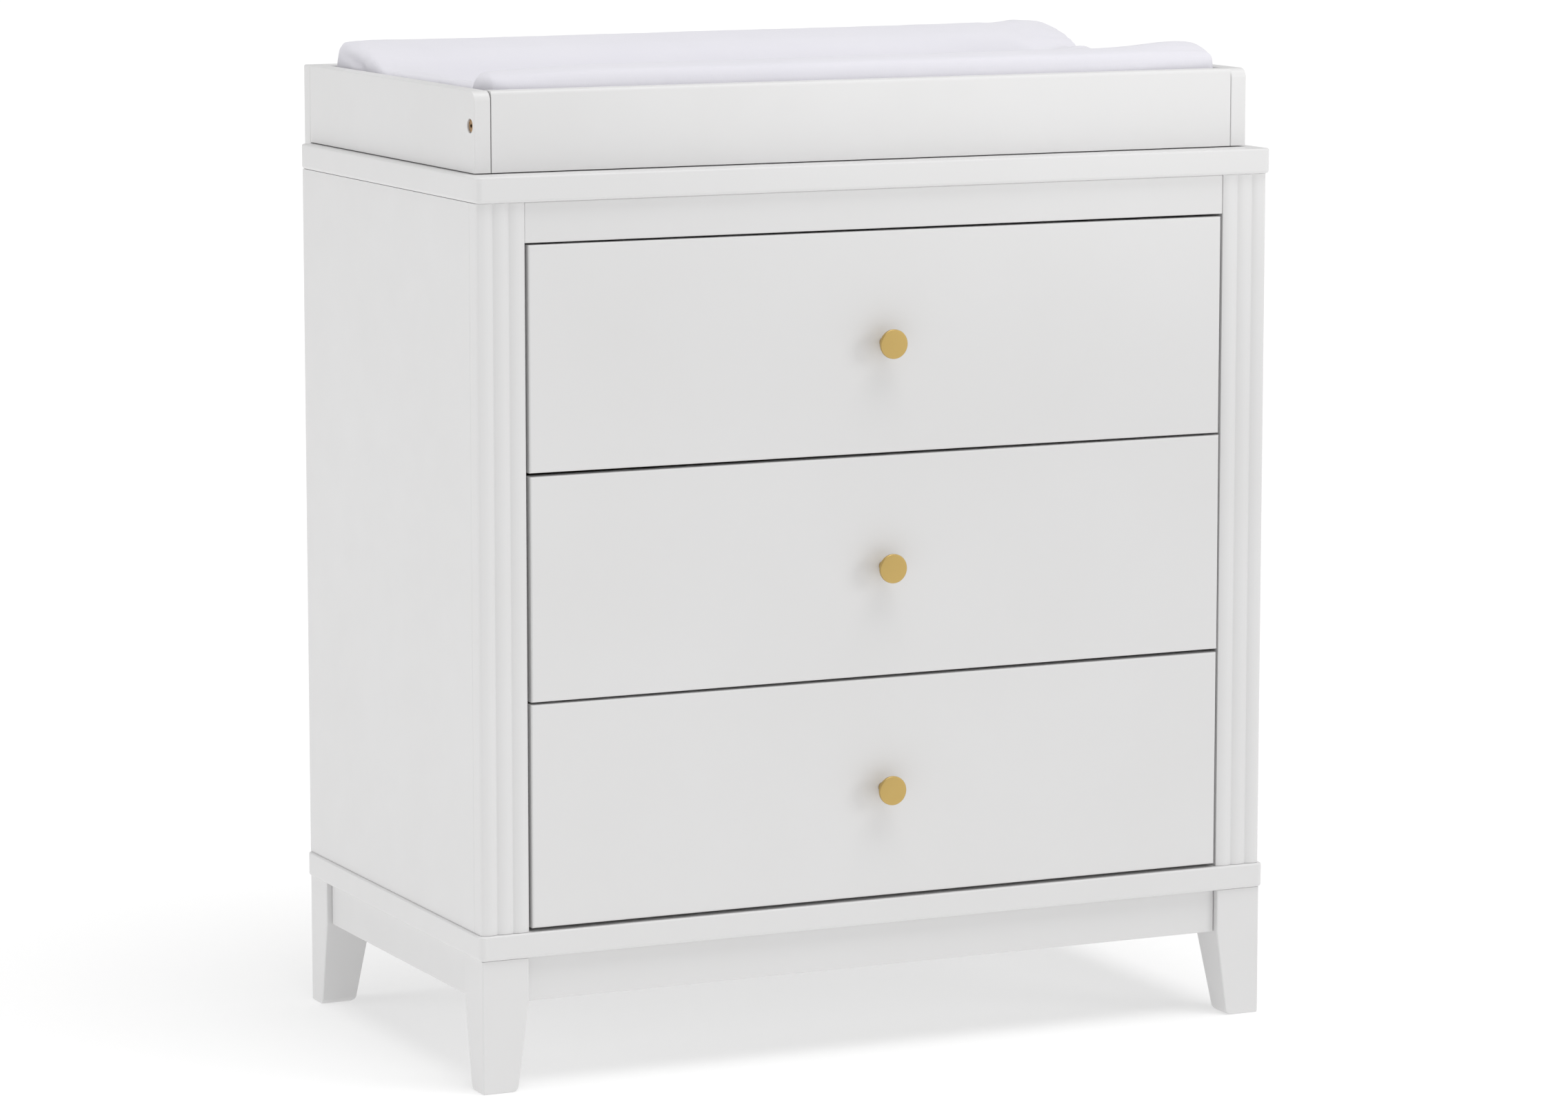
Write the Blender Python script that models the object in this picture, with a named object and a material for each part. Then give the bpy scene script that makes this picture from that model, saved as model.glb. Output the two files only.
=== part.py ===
"""Three-drawer changing table: cabinet on tapered legs, changing tray and contoured pad.

Metres, +Z up. The floor is Z = 0, the width runs along X, the front faces -Y, and the
origin lies under the middle of the whole table, so the cabinet's front face is at FRONT_Y.
Inside the functions, every Y is counted backwards from that front face.
"""

import math

import bmesh
import bpy
from mathutils import Matrix, Vector

# ---------------------------------------------------------------- driving dimensions
GAP = 0.0003                    # clearance between pieces that touch
BODY_WIDTH = 0.900
BODY_DEPTH = 0.492
BASE_Z = 0.138                  # underside of the bottom panel, and top of the legs
BASE_THICK = 0.026
BODY_TOP_Z = 0.905              # underside of the top panel
TOP_THICK = 0.0265
PANEL = 0.018                   # side panels, aprons and tray boards
ARRIS = 0.0015                  # softened edges of legs, aprons and tray boards
FINE_ARRIS = 0.001              # softened edges of the boards inside

TOP_OVERHANG = (0.0020, 0.0045, 0.0010)     # side, front, rear
BASE_OVERHANG = (0.0035, 0.0030, 0.0010)
SLAB_CORNER = 0.007             # upright corners of the two slabs
SLAB_EDGE = 0.0028

POST_WIDTH = 0.052
POST_SIDE_DEPTH = 0.020         # what shows of the post on the cabinet's side
POST_INNER_DEPTH = 0.045        # the part behind, which the slides are screwed to
POST_CORNER = 0.0045
REEDS = 3
REED_RISE = 0.0022
REED_STEPS = 8

STILE_FRONT_Y = 0.410           # rear stile glued inside each side panel
BACK_FRONT_Y = 0.484
BACK_THICK = 0.005

RAIL_BOTTOM_Z = 0.8638
RAIL_SETBACK = 0.0025
RAIL_THICK = 0.020
REAR_RAIL_HEIGHT = 0.060

LEG_WIDTH = 0.051
LEG_DEPTH = 0.048
FOOT_WIDTH = 0.0385
FOOT_DEPTH = 0.031
FOOT_ROUND = 0.005
APRON_BOTTOM_Z = 0.0915
APRON_SETBACK_FRONT = 0.0072
APRON_SETBACK_SIDE = 0.0060

DRAWER_LEVELS = ("bottom", "middle", "top")
DRAWER_PITCH = 0.2323
DRAWER_GAP = 0.0030
DRAWER_FIRST_Z = 0.1676
DRAWER_SETBACK = 0.0          # the drawer fronts lie flush with the crests of the reeds
DRAWER_SIDE_GAP = 0.0034
FRONT_THICK = 0.018
FRONT_RIM = 0.0022
BOX_DEPTH = 0.400
BOX_HEIGHT = 0.160
BOX_BOTTOM_RISE = 0.028         # box underside above the drawer front's lower edge
BOX_WALL = 0.012
BOX_TOP_ROUND = 0.003
FLOOR_THICK = 0.005
FLOOR_RISE = 0.012
GROOVE = 0.005                  # depth of the groove that the drawer's floor slides into

SLIDE_SPACE = 0.0127            # room for one slide between post and drawer box
SLIDE_FRONT_Y = 0.021
SLIDE_LENGTH = 0.400
SLIDE_RISE = 0.060              # slide's middle line above the box underside
SLIDE_SHEET = 0.0012

KNOB_RADIUS = 0.0152
KNOB_DISC = 0.004
KNOB_NECK_RADIUS = 0.005
KNOB_REACH = 0.0247
KNOB_RIM = 0.0008
KNOB_STEPS = 32

TRAY_WIDTH = 0.880
TRAY_FRONT_Y = 0.030
TRAY_GAP_Z = 0.0012             # shadow gap between tray and top panel
TRAY_TOP_Z = 1.0144
TRAY_DROP = 0.060               # how far the rear board hangs below the top panel's top
TRAY_CORNER = 0.010
TRAY_FRONT_ROUND = 0.004        # outer top edge of the front board
BOLT_SINK = 0.0040              # depth of the counterbore that the head sits in
BOLT_SINK_RADIUS = 0.0072
BOLT_RADIUS = 0.0066
BOLT_RIM = 0.0005
BOLT_HEAD = 0.0026
BOLT_SHANK_RADIUS = 0.003
BOLT_LENGTH = 0.046             # from the head's face to the shank's tip
BOLT_SOCKET = 0.0025            # radius of the driver socket
BOLT_SOCKET_DEPTH = 0.0014
BOLT_STEPS = 20
BOLT_Z = 0.9795
BOLT_SETBACK = 0.011            # bolt centre behind the tray's front edge

PAD_LENGTH = 0.836
PAD_FRONT_Y = 0.0505
PAD_REAR_Y = 0.4840
PAD_REAR_TOP_Z = 1.0440
PAD_FRONT_TOP_Z = 1.0380
PAD_VALLEY_Z = 0.9900
PAD_ROLL = 0.055                # width of each roll before it slopes to the valley
PAD_SLOPE = 0.085
PAD_END = 0.018                 # rounding of the ends

TOP_Z = BODY_TOP_Z + TOP_THICK
BODY_BOTTOM_Z = BASE_Z + BASE_THICK
TRAY_REAR_Y = BODY_DEPTH + TOP_OVERHANG[2]
TABLE_FRONT_Y = DRAWER_SETBACK - KNOB_REACH
TABLE_REAR_Y = TRAY_REAR_Y + GAP + PANEL
FRONT_Y = -(TABLE_FRONT_Y + TABLE_REAR_Y) / 2

# ---------------------------------------------------------------- finishes
WHITE_LACQUER = ((0.78, 0.78, 0.79), 0.38, 0.0)
LACQUER_INSIDE = ((0.74, 0.73, 0.71), 0.55, 0.0)
BRUSHED_GOLD = ((0.66, 0.47, 0.17), 0.32, 1.0)
BOLT_BRASS = ((0.50, 0.33, 0.16), 0.40, 1.0)
ZINC_STEEL = ((0.62, 0.63, 0.65), 0.35, 1.0)
PAD_COVER = ((0.82, 0.81, 0.85), 0.90, 0.0)
EDGE_STEPS = 3


def clear_scene():
    for existing in list(bpy.data.objects):
        bpy.data.objects.remove(existing, do_unlink=True)


def finish_material(name, finish):
    """One Principled material of its own for the piece called name."""
    colour, roughness, metallic = finish
    material = bpy.data.materials.new(name)
    material.use_nodes = True
    shader = material.node_tree.nodes["Principled BSDF"]
    shader.inputs["Base Color"].default_value = (*colour, 1.0)
    shader.inputs["Roughness"].default_value = roughness
    shader.inputs["Metallic"].default_value = metallic
    return material


def place(name, shape, parent, finish, location=(0.0, 0.0, 0.0), smooth=False):
    """Turn a bmesh into a named object under its body's empty."""
    bmesh.ops.recalc_face_normals(shape, faces=shape.faces)
    mesh = bpy.data.meshes.new(name)
    shape.to_mesh(mesh)
    shape.free()
    if smooth:
        mesh.shade_smooth()
        mesh.set_sharp_from_angle(angle=math.radians(35.0))
    mesh.materials.append(finish_material(name, finish))
    piece = bpy.data.objects.new(name, mesh)
    piece.location = location
    piece.parent = parent
    bpy.context.scene.collection.objects.link(piece)
    return piece


def body_empty(name, y=FRONT_Y, z=0.0):
    """An empty that carries one rigid body; Y = 0 under it is the cabinet's front face."""
    empty = bpy.data.objects.new(name, None)
    empty.location = (0.0, y, z)
    bpy.context.scene.collection.objects.link(empty)
    return empty


# ---------------------------------------------------------------- shape helpers
def box(low, high, radius=0.0, steps=EDGE_STEPS):
    """A block between two corners, with every edge rounded by radius."""
    shape = bmesh.new()
    bmesh.ops.create_cube(shape, size=1.0)
    low, high = Vector(low), Vector(high)
    size = high - low
    bmesh.ops.scale(shape, vec=size, verts=shape.verts)
    bmesh.ops.translate(shape, vec=(low + high) / 2, verts=shape.verts)
    if radius:
        bmesh.ops.bevel(shape, geom=shape.edges[:], offset=radius, segments=steps, profile=0.5,
                        affect="EDGES", clamp_overlap=True, material=-1)
    return shape


def prism(outline, axis, start, end):
    """Extrude a closed outline from start to end along X, Y or Z."""
    order = {
        "X": lambda a, b: (start, a, b),
        "Y": lambda a, b: (a, start, b),
        "Z": lambda a, b: (a, b, start),
    }
    shape = bmesh.new()
    corners = [shape.verts.new(order[axis](*point)) for point in outline]
    cap = shape.faces.new(corners)
    grown = bmesh.ops.extrude_face_region(shape, geom=[cap])["geom"]
    moved = [item for item in grown if isinstance(item, bmesh.types.BMVert)]
    travel = Vector([end - start if name == axis else 0.0 for name in "XYZ"])
    bmesh.ops.translate(shape, vec=travel, verts=moved)
    return shape


def arc(centre, radius, first_degrees, last_degrees, steps):
    """Points of an arc, both ends included."""
    turn = (last_degrees - first_degrees) / steps
    angles = [math.radians(first_degrees + turn * index) for index in range(steps + 1)]
    return [(centre[0] + radius * math.cos(a), centre[1] + radius * math.sin(a)) for a in angles]


def rounded_rectangle(low, high, radius, steps=4):
    """Outline of a rectangle with four round corners."""
    inner = (low[0] + radius, low[1] + radius, high[0] - radius, high[1] - radius)
    outline = arc((inner[2], inner[3]), radius, 0, 90, steps)
    outline += arc((inner[0], inner[3]), radius, 90, 180, steps)
    outline += arc((inner[0], inner[1]), radius, 180, 270, steps)
    outline += arc((inner[2], inner[1]), radius, 270, 360, steps)
    return outline


def mirror_x(outline, side):
    """The outline on the left (side -1) or on the right (side +1) of the table."""
    return [(side * x, other) for x, other in outline]


def turned(profile, steps):
    """Turn a profile of (radius, reach) around the Y axis, reaching towards -Y."""
    shape = bmesh.new()
    corners = [shape.verts.new((radius, -reach, 0.0)) for radius, reach in profile]
    edges = [shape.edges.new(pair) for pair in zip(corners, corners[1:])]
    bmesh.ops.spin(shape, geom=corners + edges, axis=(0.0, 1.0, 0.0), cent=(0.0, 0.0, 0.0),
                   angle=math.tau, steps=steps, use_merge=True, use_duplicate=False)
    open_ends = [edge for edge in shape.edges if edge.is_boundary]
    bmesh.ops.holes_fill(shape, edges=open_ends, sides=0)
    return shape


def bevel_edges(shape, radius, wanted, steps=EDGE_STEPS):
    """Round the edges for which wanted(edge) is true."""
    edges = [edge for edge in shape.edges if wanted(edge)]
    bmesh.ops.bevel(shape, geom=edges, offset=radius, segments=steps, profile=0.5,
                    affect="EDGES", clamp_overlap=True, material=-1)


def lies_at(edge, axis, value):
    """True for an edge that lies in the plane axis = value."""
    return all(abs(corner.co[axis] - value) < GAP / 10 for corner in edge.verts)


def cylinder_cutter(name, radius, low_x, high_x, y, z, parent):
    """A wire cylinder along X that a Boolean cuts away."""
    shape = bmesh.new()
    turn = Matrix.Rotation(math.radians(90.0), 4, "Y")
    centre = Matrix.Translation(((low_x + high_x) / 2, y, z))
    bmesh.ops.create_cone(shape, cap_ends=True, segments=BOLT_STEPS, radius1=radius, radius2=radius,
                          depth=high_x - low_x, matrix=centre @ turn)
    cutter = place(name, shape, parent, ZINC_STEEL)
    cutter.hide_render = True
    cutter.display_type = "WIRE"
    return cutter


def cut(piece, cutter):
    """Cut the cutter's shape out of the piece."""
    boolean = piece.modifiers.new(cutter.name, "BOOLEAN")
    boolean.operation = "DIFFERENCE"
    boolean.solver = "EXACT"
    boolean.object = cutter


# ---------------------------------------------------------------- cabinet carcass
def slab(name, z_low, z_high, overhang, cabinet):
    """Top or bottom panel: round upright corners and softly rounded rims."""
    side, front, rear = overhang
    half = BODY_WIDTH / 2 + side
    outline = rounded_rectangle((-half, -front), (half, BODY_DEPTH + rear), SLAB_CORNER)
    shape = prism(outline, "Z", z_low, z_high)
    bevel_edges(shape, SLAB_EDGE, lambda edge: lies_at(edge, 2, z_low) or lies_at(edge, 2, z_high))
    return place(name, shape, cabinet, WHITE_LACQUER)


def post_outline():
    """Plan of the right front post: reeded front, rebate for the side panel behind."""
    inner_x = BODY_WIDTH / 2 - POST_WIDTH
    outer_x = BODY_WIDTH / 2
    reed = POST_WIDTH / REEDS
    radius = (reed ** 2 / 4 + REED_RISE ** 2) / (2 * REED_RISE)
    half_angle = math.degrees(math.asin(reed / 2 / radius))
    outline = []
    for index in range(REEDS):
        middle = inner_x + reed * (index + 0.5)
        points = arc((middle, radius), radius, 270 - half_angle, 270 + half_angle, REED_STEPS)
        outline += points if index == 0 else points[1:]
    corner_y = outline[-1][1]
    outline.pop()
    outline += arc((outer_x - POST_CORNER, corner_y + POST_CORNER), POST_CORNER, 300, 360, 4)
    rebate_x = outer_x - PANEL - GAP
    outline += [(outer_x, POST_SIDE_DEPTH), (rebate_x, POST_SIDE_DEPTH)]
    outline += [(rebate_x, POST_INNER_DEPTH), (inner_x, POST_INNER_DEPTH)]
    return outline


def front_post(name, side, cabinet):
    outline = mirror_x(post_outline(), side)
    shape = prism(outline, "Z", BODY_BOTTOM_Z + GAP, BODY_TOP_Z - GAP)
    return place(name, shape, cabinet, WHITE_LACQUER)


def side_panel(name, side, cabinet):
    """Side board with a stile glued inside its rear edge and a rebate for the back panel."""
    outer_x = BODY_WIDTH / 2
    face_x = outer_x - PANEL
    stile_x = outer_x - POST_WIDTH
    front_y = POST_SIDE_DEPTH + GAP
    outline = [(outer_x, front_y), (outer_x, BODY_DEPTH), (face_x, BODY_DEPTH)]
    outline += [(face_x, BACK_FRONT_Y - GAP), (stile_x, BACK_FRONT_Y - GAP)]
    outline += [(stile_x, STILE_FRONT_Y), (face_x, STILE_FRONT_Y), (face_x, front_y)]
    shape = prism(mirror_x(outline, side), "Z", BODY_BOTTOM_Z + GAP, BODY_TOP_Z - GAP)
    return place(name, shape, cabinet, WHITE_LACQUER)


def front_rail(cabinet):
    half = BODY_WIDTH / 2 - POST_WIDTH - GAP
    low = (-half, RAIL_SETBACK, RAIL_BOTTOM_Z)
    high = (half, RAIL_SETBACK + RAIL_THICK, BODY_TOP_Z - GAP)
    return place("front_rail", box(low, high, FINE_ARRIS, 2), cabinet, WHITE_LACQUER)


def rear_rail(cabinet):
    """Rail between the rear stiles that the tray's rear board is screwed to."""
    half = BODY_WIDTH / 2 - POST_WIDTH - GAP
    low = (-half, BACK_FRONT_Y - GAP - RAIL_THICK, BODY_TOP_Z - GAP - REAR_RAIL_HEIGHT)
    high = (half, BACK_FRONT_Y - GAP, BODY_TOP_Z - GAP)
    return place("rear_rail", box(low, high), cabinet, LACQUER_INSIDE)


def back_panel(cabinet):
    half = BODY_WIDTH / 2 - PANEL - GAP
    low = (-half, BACK_FRONT_Y, BODY_BOTTOM_Z + GAP)
    high = (half, BACK_FRONT_Y + BACK_THICK, BODY_TOP_Z - GAP)
    return place("back_panel", box(low, high), cabinet, LACQUER_INSIDE)


# ---------------------------------------------------------------- legs and aprons
def leg(name, side, rear, cabinet):
    """Upright outer faces; the two inner faces taper from the apron's edge to the foot."""
    outer_x = side * BODY_WIDTH / 2
    inner_x = outer_x - side * LEG_WIDTH
    outer_y = BODY_DEPTH if rear else 0.0
    inner_y = BODY_DEPTH - LEG_DEPTH if rear else LEG_DEPTH
    low = (min(outer_x, inner_x), min(outer_y, inner_y), 0.0)
    high = (max(outer_x, inner_x), max(outer_y, inner_y), BASE_Z - GAP)
    shape = box(low, high)
    everything = shape.verts[:] + shape.edges[:] + shape.faces[:]
    bmesh.ops.bisect_plane(shape, geom=everything, dist=GAP / 10,
                           plane_co=(0.0, 0.0, APRON_BOTTOM_Z), plane_no=(0.0, 0.0, 1.0))
    foot_x = outer_x - side * FOOT_WIDTH
    foot_y = BODY_DEPTH - FOOT_DEPTH if rear else FOOT_DEPTH
    for corner in shape.verts:
        if corner.co.z < GAP:
            corner.co.x = foot_x if abs(corner.co.x - inner_x) < GAP else corner.co.x
            corner.co.y = foot_y if abs(corner.co.y - inner_y) < GAP else corner.co.y

    def inner_foot_edge(edge):
        at_x = all(abs(corner.co.x - foot_x) < GAP for corner in edge.verts)
        at_y = all(abs(corner.co.y - foot_y) < GAP for corner in edge.verts)
        return lies_at(edge, 2, 0.0) and (at_x or at_y)

    bevel_edges(shape, FOOT_ROUND, inner_foot_edge)
    bevel_edges(shape, ARRIS, lambda edge: not lies_at(edge, 2, BASE_Z - GAP) and edge.is_convex
                and edge.calc_face_angle(0.0) > math.radians(40.0))
    return place(name, shape, cabinet, WHITE_LACQUER)


def apron_x(name, y_low, cabinet):
    """Front or rear apron between the legs, with its lower end corners rounded."""
    half = BODY_WIDTH / 2 - LEG_WIDTH - GAP
    low = (-half, y_low, APRON_BOTTOM_Z)
    high = (half, y_low + PANEL, BASE_Z - GAP)
    return place(name, box(low, high, ARRIS, 2), cabinet, WHITE_LACQUER)


def apron_y(name, side, cabinet):
    """Side apron between the front and the rear leg."""
    outer_x = side * (BODY_WIDTH / 2 - APRON_SETBACK_SIDE)
    inner_x = outer_x - side * PANEL
    low = (min(outer_x, inner_x), LEG_DEPTH + GAP, APRON_BOTTOM_Z)
    high = (max(outer_x, inner_x), BODY_DEPTH - LEG_DEPTH - GAP, BASE_Z - GAP)
    return place(name, box(low, high, ARRIS, 2), cabinet, WHITE_LACQUER)


# ---------------------------------------------------------------- changing tray
def tray_side_board(name, side, cabinet):
    """Side board with a rounded front top corner and a counterbored hole for its bolt."""
    outer_x = side * TRAY_WIDTH / 2
    inner_x = outer_x - side * PANEL
    low_z = TOP_Z + TRAY_GAP_Z
    outline = [(TRAY_REAR_Y, low_z), (TRAY_REAR_Y, TRAY_TOP_Z)]
    outline += arc((TRAY_FRONT_Y + TRAY_CORNER, TRAY_TOP_Z - TRAY_CORNER), TRAY_CORNER, 90, 180, 6)
    outline += [(TRAY_FRONT_Y, low_z)]
    shape = prism(outline, "X", inner_x, outer_x)
    bevel_edges(shape, ARRIS, lambda edge: (lies_at(edge, 0, inner_x) or lies_at(edge, 0, outer_x))
                and not lies_at(edge, 2, low_z), 2)
    board = place(name, shape, cabinet, WHITE_LACQUER)
    bolt_y = TRAY_FRONT_Y + BOLT_SETBACK
    for word, radius, start_x in (("hole", BOLT_SHANK_RADIUS + GAP, inner_x - side * PANEL),
                                  ("sink", BOLT_SINK_RADIUS, outer_x - side * BOLT_SINK)):
        low_x, high_x = sorted((start_x, outer_x + side * PANEL))
        cut(board, cylinder_cutter(f"{name}_{word}", radius, low_x, high_x, bolt_y, BOLT_Z, cabinet))
    return board


def tray_front_board(cabinet):
    """Front board between the side boards, bored at both ends for the bolts."""
    half = TRAY_WIDTH / 2 - PANEL - GAP
    low = (-half, TRAY_FRONT_Y, TOP_Z + TRAY_GAP_Z)
    high = (half, TRAY_FRONT_Y + PANEL, TRAY_TOP_Z)
    shape = box(low, high)
    bevel_edges(shape, TRAY_FRONT_ROUND,
                lambda edge: lies_at(edge, 2, high[2]) and lies_at(edge, 1, low[1]), 4)
    bevel_edges(shape, ARRIS, lambda edge: lies_at(edge, 2, high[2]) and lies_at(edge, 1, high[1]), 2)
    board = place("tray_front_board", shape, cabinet, WHITE_LACQUER)
    depth = BOLT_LENGTH + BOLT_SINK - PANEL
    for side, word in ((-1, "left"), (1, "right")):
        low_x, high_x = sorted((side * (half - depth), side * (half + PANEL)))
        cut(board, cylinder_cutter(f"tray_front_bore_{word}", BOLT_SHANK_RADIUS + GAP, low_x, high_x,
                                   TRAY_FRONT_Y + BOLT_SETBACK, BOLT_Z, cabinet))
    return board


def tray_rear_board(cabinet):
    """Rear board: it hangs down behind the cabinet, where it is screwed on."""
    half = TRAY_WIDTH / 2
    low = (-half, TRAY_REAR_Y + GAP, TOP_Z - TRAY_DROP)
    high = (half, TRAY_REAR_Y + GAP + PANEL, TRAY_TOP_Z)
    return place("tray_rear_board", box(low, high, ARRIS, 2), cabinet, WHITE_LACQUER)


def tray_bolt(name, side, cabinet):
    """Connector bolt: flat round head in the counterbore, and its shank in the boards."""
    soft = BOLT_RIM
    profile = [(BOLT_SOCKET, BOLT_HEAD - BOLT_SOCKET_DEPTH), (BOLT_SOCKET, BOLT_HEAD)]
    profile += [(BOLT_RADIUS - soft, BOLT_HEAD), (BOLT_RADIUS, BOLT_HEAD - soft), (BOLT_RADIUS, GAP)]
    profile += [(BOLT_SHANK_RADIUS, GAP), (BOLT_SHANK_RADIUS, BOLT_HEAD - BOLT_LENGTH)]
    shape = turned(profile, BOLT_STEPS)
    bmesh.ops.rotate(shape, cent=(0.0, 0.0, 0.0), verts=shape.verts,
                     matrix=Matrix.Rotation(math.radians(90.0) * side, 3, "Z"))
    spot = (side * (TRAY_WIDTH / 2 - BOLT_SINK), TRAY_FRONT_Y + BOLT_SETBACK, BOLT_Z)
    return place(name, shape, cabinet, BOLT_BRASS, location=spot, smooth=True)


# ---------------------------------------------------------------- changing pad
def pad_outline():
    """Cross-section of the pad: two rolls along the long sides and a valley between."""
    def slope(from_y, from_z, to_y, to_z, steps=5):
        points = []
        for index in range(1, steps):
            share = index / steps
            ease = (1 - math.cos(math.pi * share)) / 2
            points.append((from_y + (to_y - from_y) * share, from_z + (to_z - from_z) * ease))
        return points

    low_z = TOP_Z + GAP
    shoulder = PAD_ROLL / 2
    front_in, rear_in = PAD_FRONT_Y + PAD_ROLL, PAD_REAR_Y - PAD_ROLL
    outline = [(PAD_FRONT_Y, low_z)]
    outline += arc((PAD_FRONT_Y + shoulder, PAD_FRONT_TOP_Z - shoulder), shoulder, 180, 90, 4)
    outline += slope(front_in - shoulder, PAD_FRONT_TOP_Z, front_in + PAD_SLOPE, PAD_VALLEY_Z)
    outline += [(front_in + PAD_SLOPE, PAD_VALLEY_Z), (rear_in - PAD_SLOPE, PAD_VALLEY_Z)]
    outline += slope(rear_in - PAD_SLOPE, PAD_VALLEY_Z, rear_in + shoulder, PAD_REAR_TOP_Z)
    outline += arc((PAD_REAR_Y - shoulder, PAD_REAR_TOP_Z - shoulder), shoulder, 90, 0, 4)
    outline += [(PAD_REAR_Y, low_z)]
    return outline


def changing_pad(cabinet):
    half = PAD_LENGTH / 2
    shape = prism(pad_outline(), "X", -half, half)
    bevel_edges(shape, PAD_END, lambda edge: lies_at(edge, 0, -half) or lies_at(edge, 0, half))
    return place("changing_pad", shape, cabinet, PAD_COVER, smooth=True)


# ---------------------------------------------------------------- drawers
def drawer_front(level, drawer):
    half = BODY_WIDTH / 2 - POST_WIDTH - DRAWER_SIDE_GAP
    height = DRAWER_PITCH - DRAWER_GAP
    shape = box((-half, DRAWER_SETBACK, 0.0), (half, DRAWER_SETBACK + FRONT_THICK, height))
    bevel_edges(shape, FRONT_RIM, lambda edge: lies_at(edge, 1, DRAWER_SETBACK))
    return place(f"drawer_{level}_front", shape, drawer, WHITE_LACQUER)


def box_frame():
    """Front, rear and half-width of a drawer box, and the height of its underside."""
    front_y = DRAWER_SETBACK + FRONT_THICK + GAP
    half = BODY_WIDTH / 2 - POST_WIDTH - SLIDE_SPACE - GAP
    return front_y, front_y + BOX_DEPTH, half, BOX_BOTTOM_RISE


def drawer_side(level, side, drawer):
    """Box side with a rounded top edge and the groove for the floor."""
    front_y, rear_y, half, low_z = box_frame()
    inner = half - BOX_WALL
    groove_low = low_z + FLOOR_RISE - GAP
    groove_high = groove_low + FLOOR_THICK + 2 * GAP
    outline = [(half, low_z)]
    soft, top_z = BOX_TOP_ROUND, low_z + BOX_HEIGHT
    outline += arc((half - soft, top_z - soft), soft, 0, 90, 3)
    outline += arc((inner + soft, top_z - soft), soft, 90, 180, 3)
    outline += [(inner, groove_high), (inner + GROOVE, groove_high), (inner + GROOVE, groove_low)]
    outline += [(inner, groove_low), (inner, low_z)]
    word = "left" if side < 0 else "right"
    shape = prism(mirror_x(outline, side), "Y", front_y, rear_y)
    return place(f"drawer_{level}_side_{word}", shape, drawer, LACQUER_INSIDE)


def drawer_back(level, drawer):
    """Box back between the sides, standing on the floor's rear edge."""
    front_y, rear_y, half, low_z = box_frame()
    inner = half - BOX_WALL - GAP
    floor_top = low_z + FLOOR_RISE + FLOOR_THICK
    low = (-inner, rear_y - BOX_WALL, floor_top + GAP)
    high = (inner, rear_y, low_z + BOX_HEIGHT)
    return place(f"drawer_{level}_back", box(low, high, FINE_ARRIS, 1), drawer, LACQUER_INSIDE)


def drawer_floor(level, drawer):
    front_y, rear_y, half, low_z = box_frame()
    edge = half - BOX_WALL + GROOVE - GAP
    low = (-edge, front_y, low_z + FLOOR_RISE)
    high = (edge, rear_y, low_z + FLOOR_RISE + FLOOR_THICK)
    return place(f"drawer_{level}_floor", box(low, high), drawer, LACQUER_INSIDE)


def drawer_knob(level, drawer):
    """Turned knob: flat disc on a thin neck, at the middle of the drawer front."""
    disc_back = KNOB_REACH - KNOB_DISC
    soft = KNOB_RIM
    profile = [(KNOB_RADIUS - soft, KNOB_REACH), (KNOB_RADIUS, KNOB_REACH - soft)]
    profile += [(KNOB_RADIUS, disc_back + soft), (KNOB_RADIUS - soft, disc_back)]
    profile += [(KNOB_NECK_RADIUS + soft, disc_back), (KNOB_NECK_RADIUS, disc_back - soft)]
    profile += [(KNOB_NECK_RADIUS, GAP)]
    shape = turned(profile, KNOB_STEPS)
    middle = (0.0, DRAWER_SETBACK, (DRAWER_PITCH - DRAWER_GAP) / 2)
    return place(f"drawer_{level}_knob", shape, drawer, BRUSHED_GOLD, location=middle, smooth=True)


# ---------------------------------------------------------------- drawer slides
def channel(web_x, lip_x, half_height):
    """Outline of a sheet channel: its web at web_x and its lips reaching to lip_x."""
    sheet = math.copysign(SLIDE_SHEET, lip_x - web_x)
    inside = half_height - SLIDE_SHEET
    return [(web_x, -half_height), (lip_x, -half_height), (lip_x, -inside), (web_x + sheet, -inside),
            (web_x + sheet, inside), (lip_x, inside), (lip_x, half_height), (web_x, half_height)]


# Web and lip positions counted from the post towards the drawer, and half the height.
SLIDE_MEMBERS = {
    "outer": (0.0003, 0.0090, 0.0225),
    "middle": (0.0026, 0.0110, 0.0198),
    "inner": (0.0124, 0.0050, 0.0171),
}


def slide_member(member, level, side, parent):
    """One member of a telescopic slide; the three nest in each other without touching."""
    web, lip, half_height = SLIDE_MEMBERS[member]
    post_x = BODY_WIDTH / 2 - POST_WIDTH
    outline = channel(side * (post_x - web), side * (post_x - lip), half_height)
    word = "left" if side < 0 else "right"
    shape = prism(outline, "Y", SLIDE_FRONT_Y, SLIDE_FRONT_Y + SLIDE_LENGTH)
    height = BOX_BOTTOM_RISE + SLIDE_RISE
    return place(f"slide_{level}_{word}_{member}", shape, parent, ZINC_STEEL, location=(0.0, 0.0, height))


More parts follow.
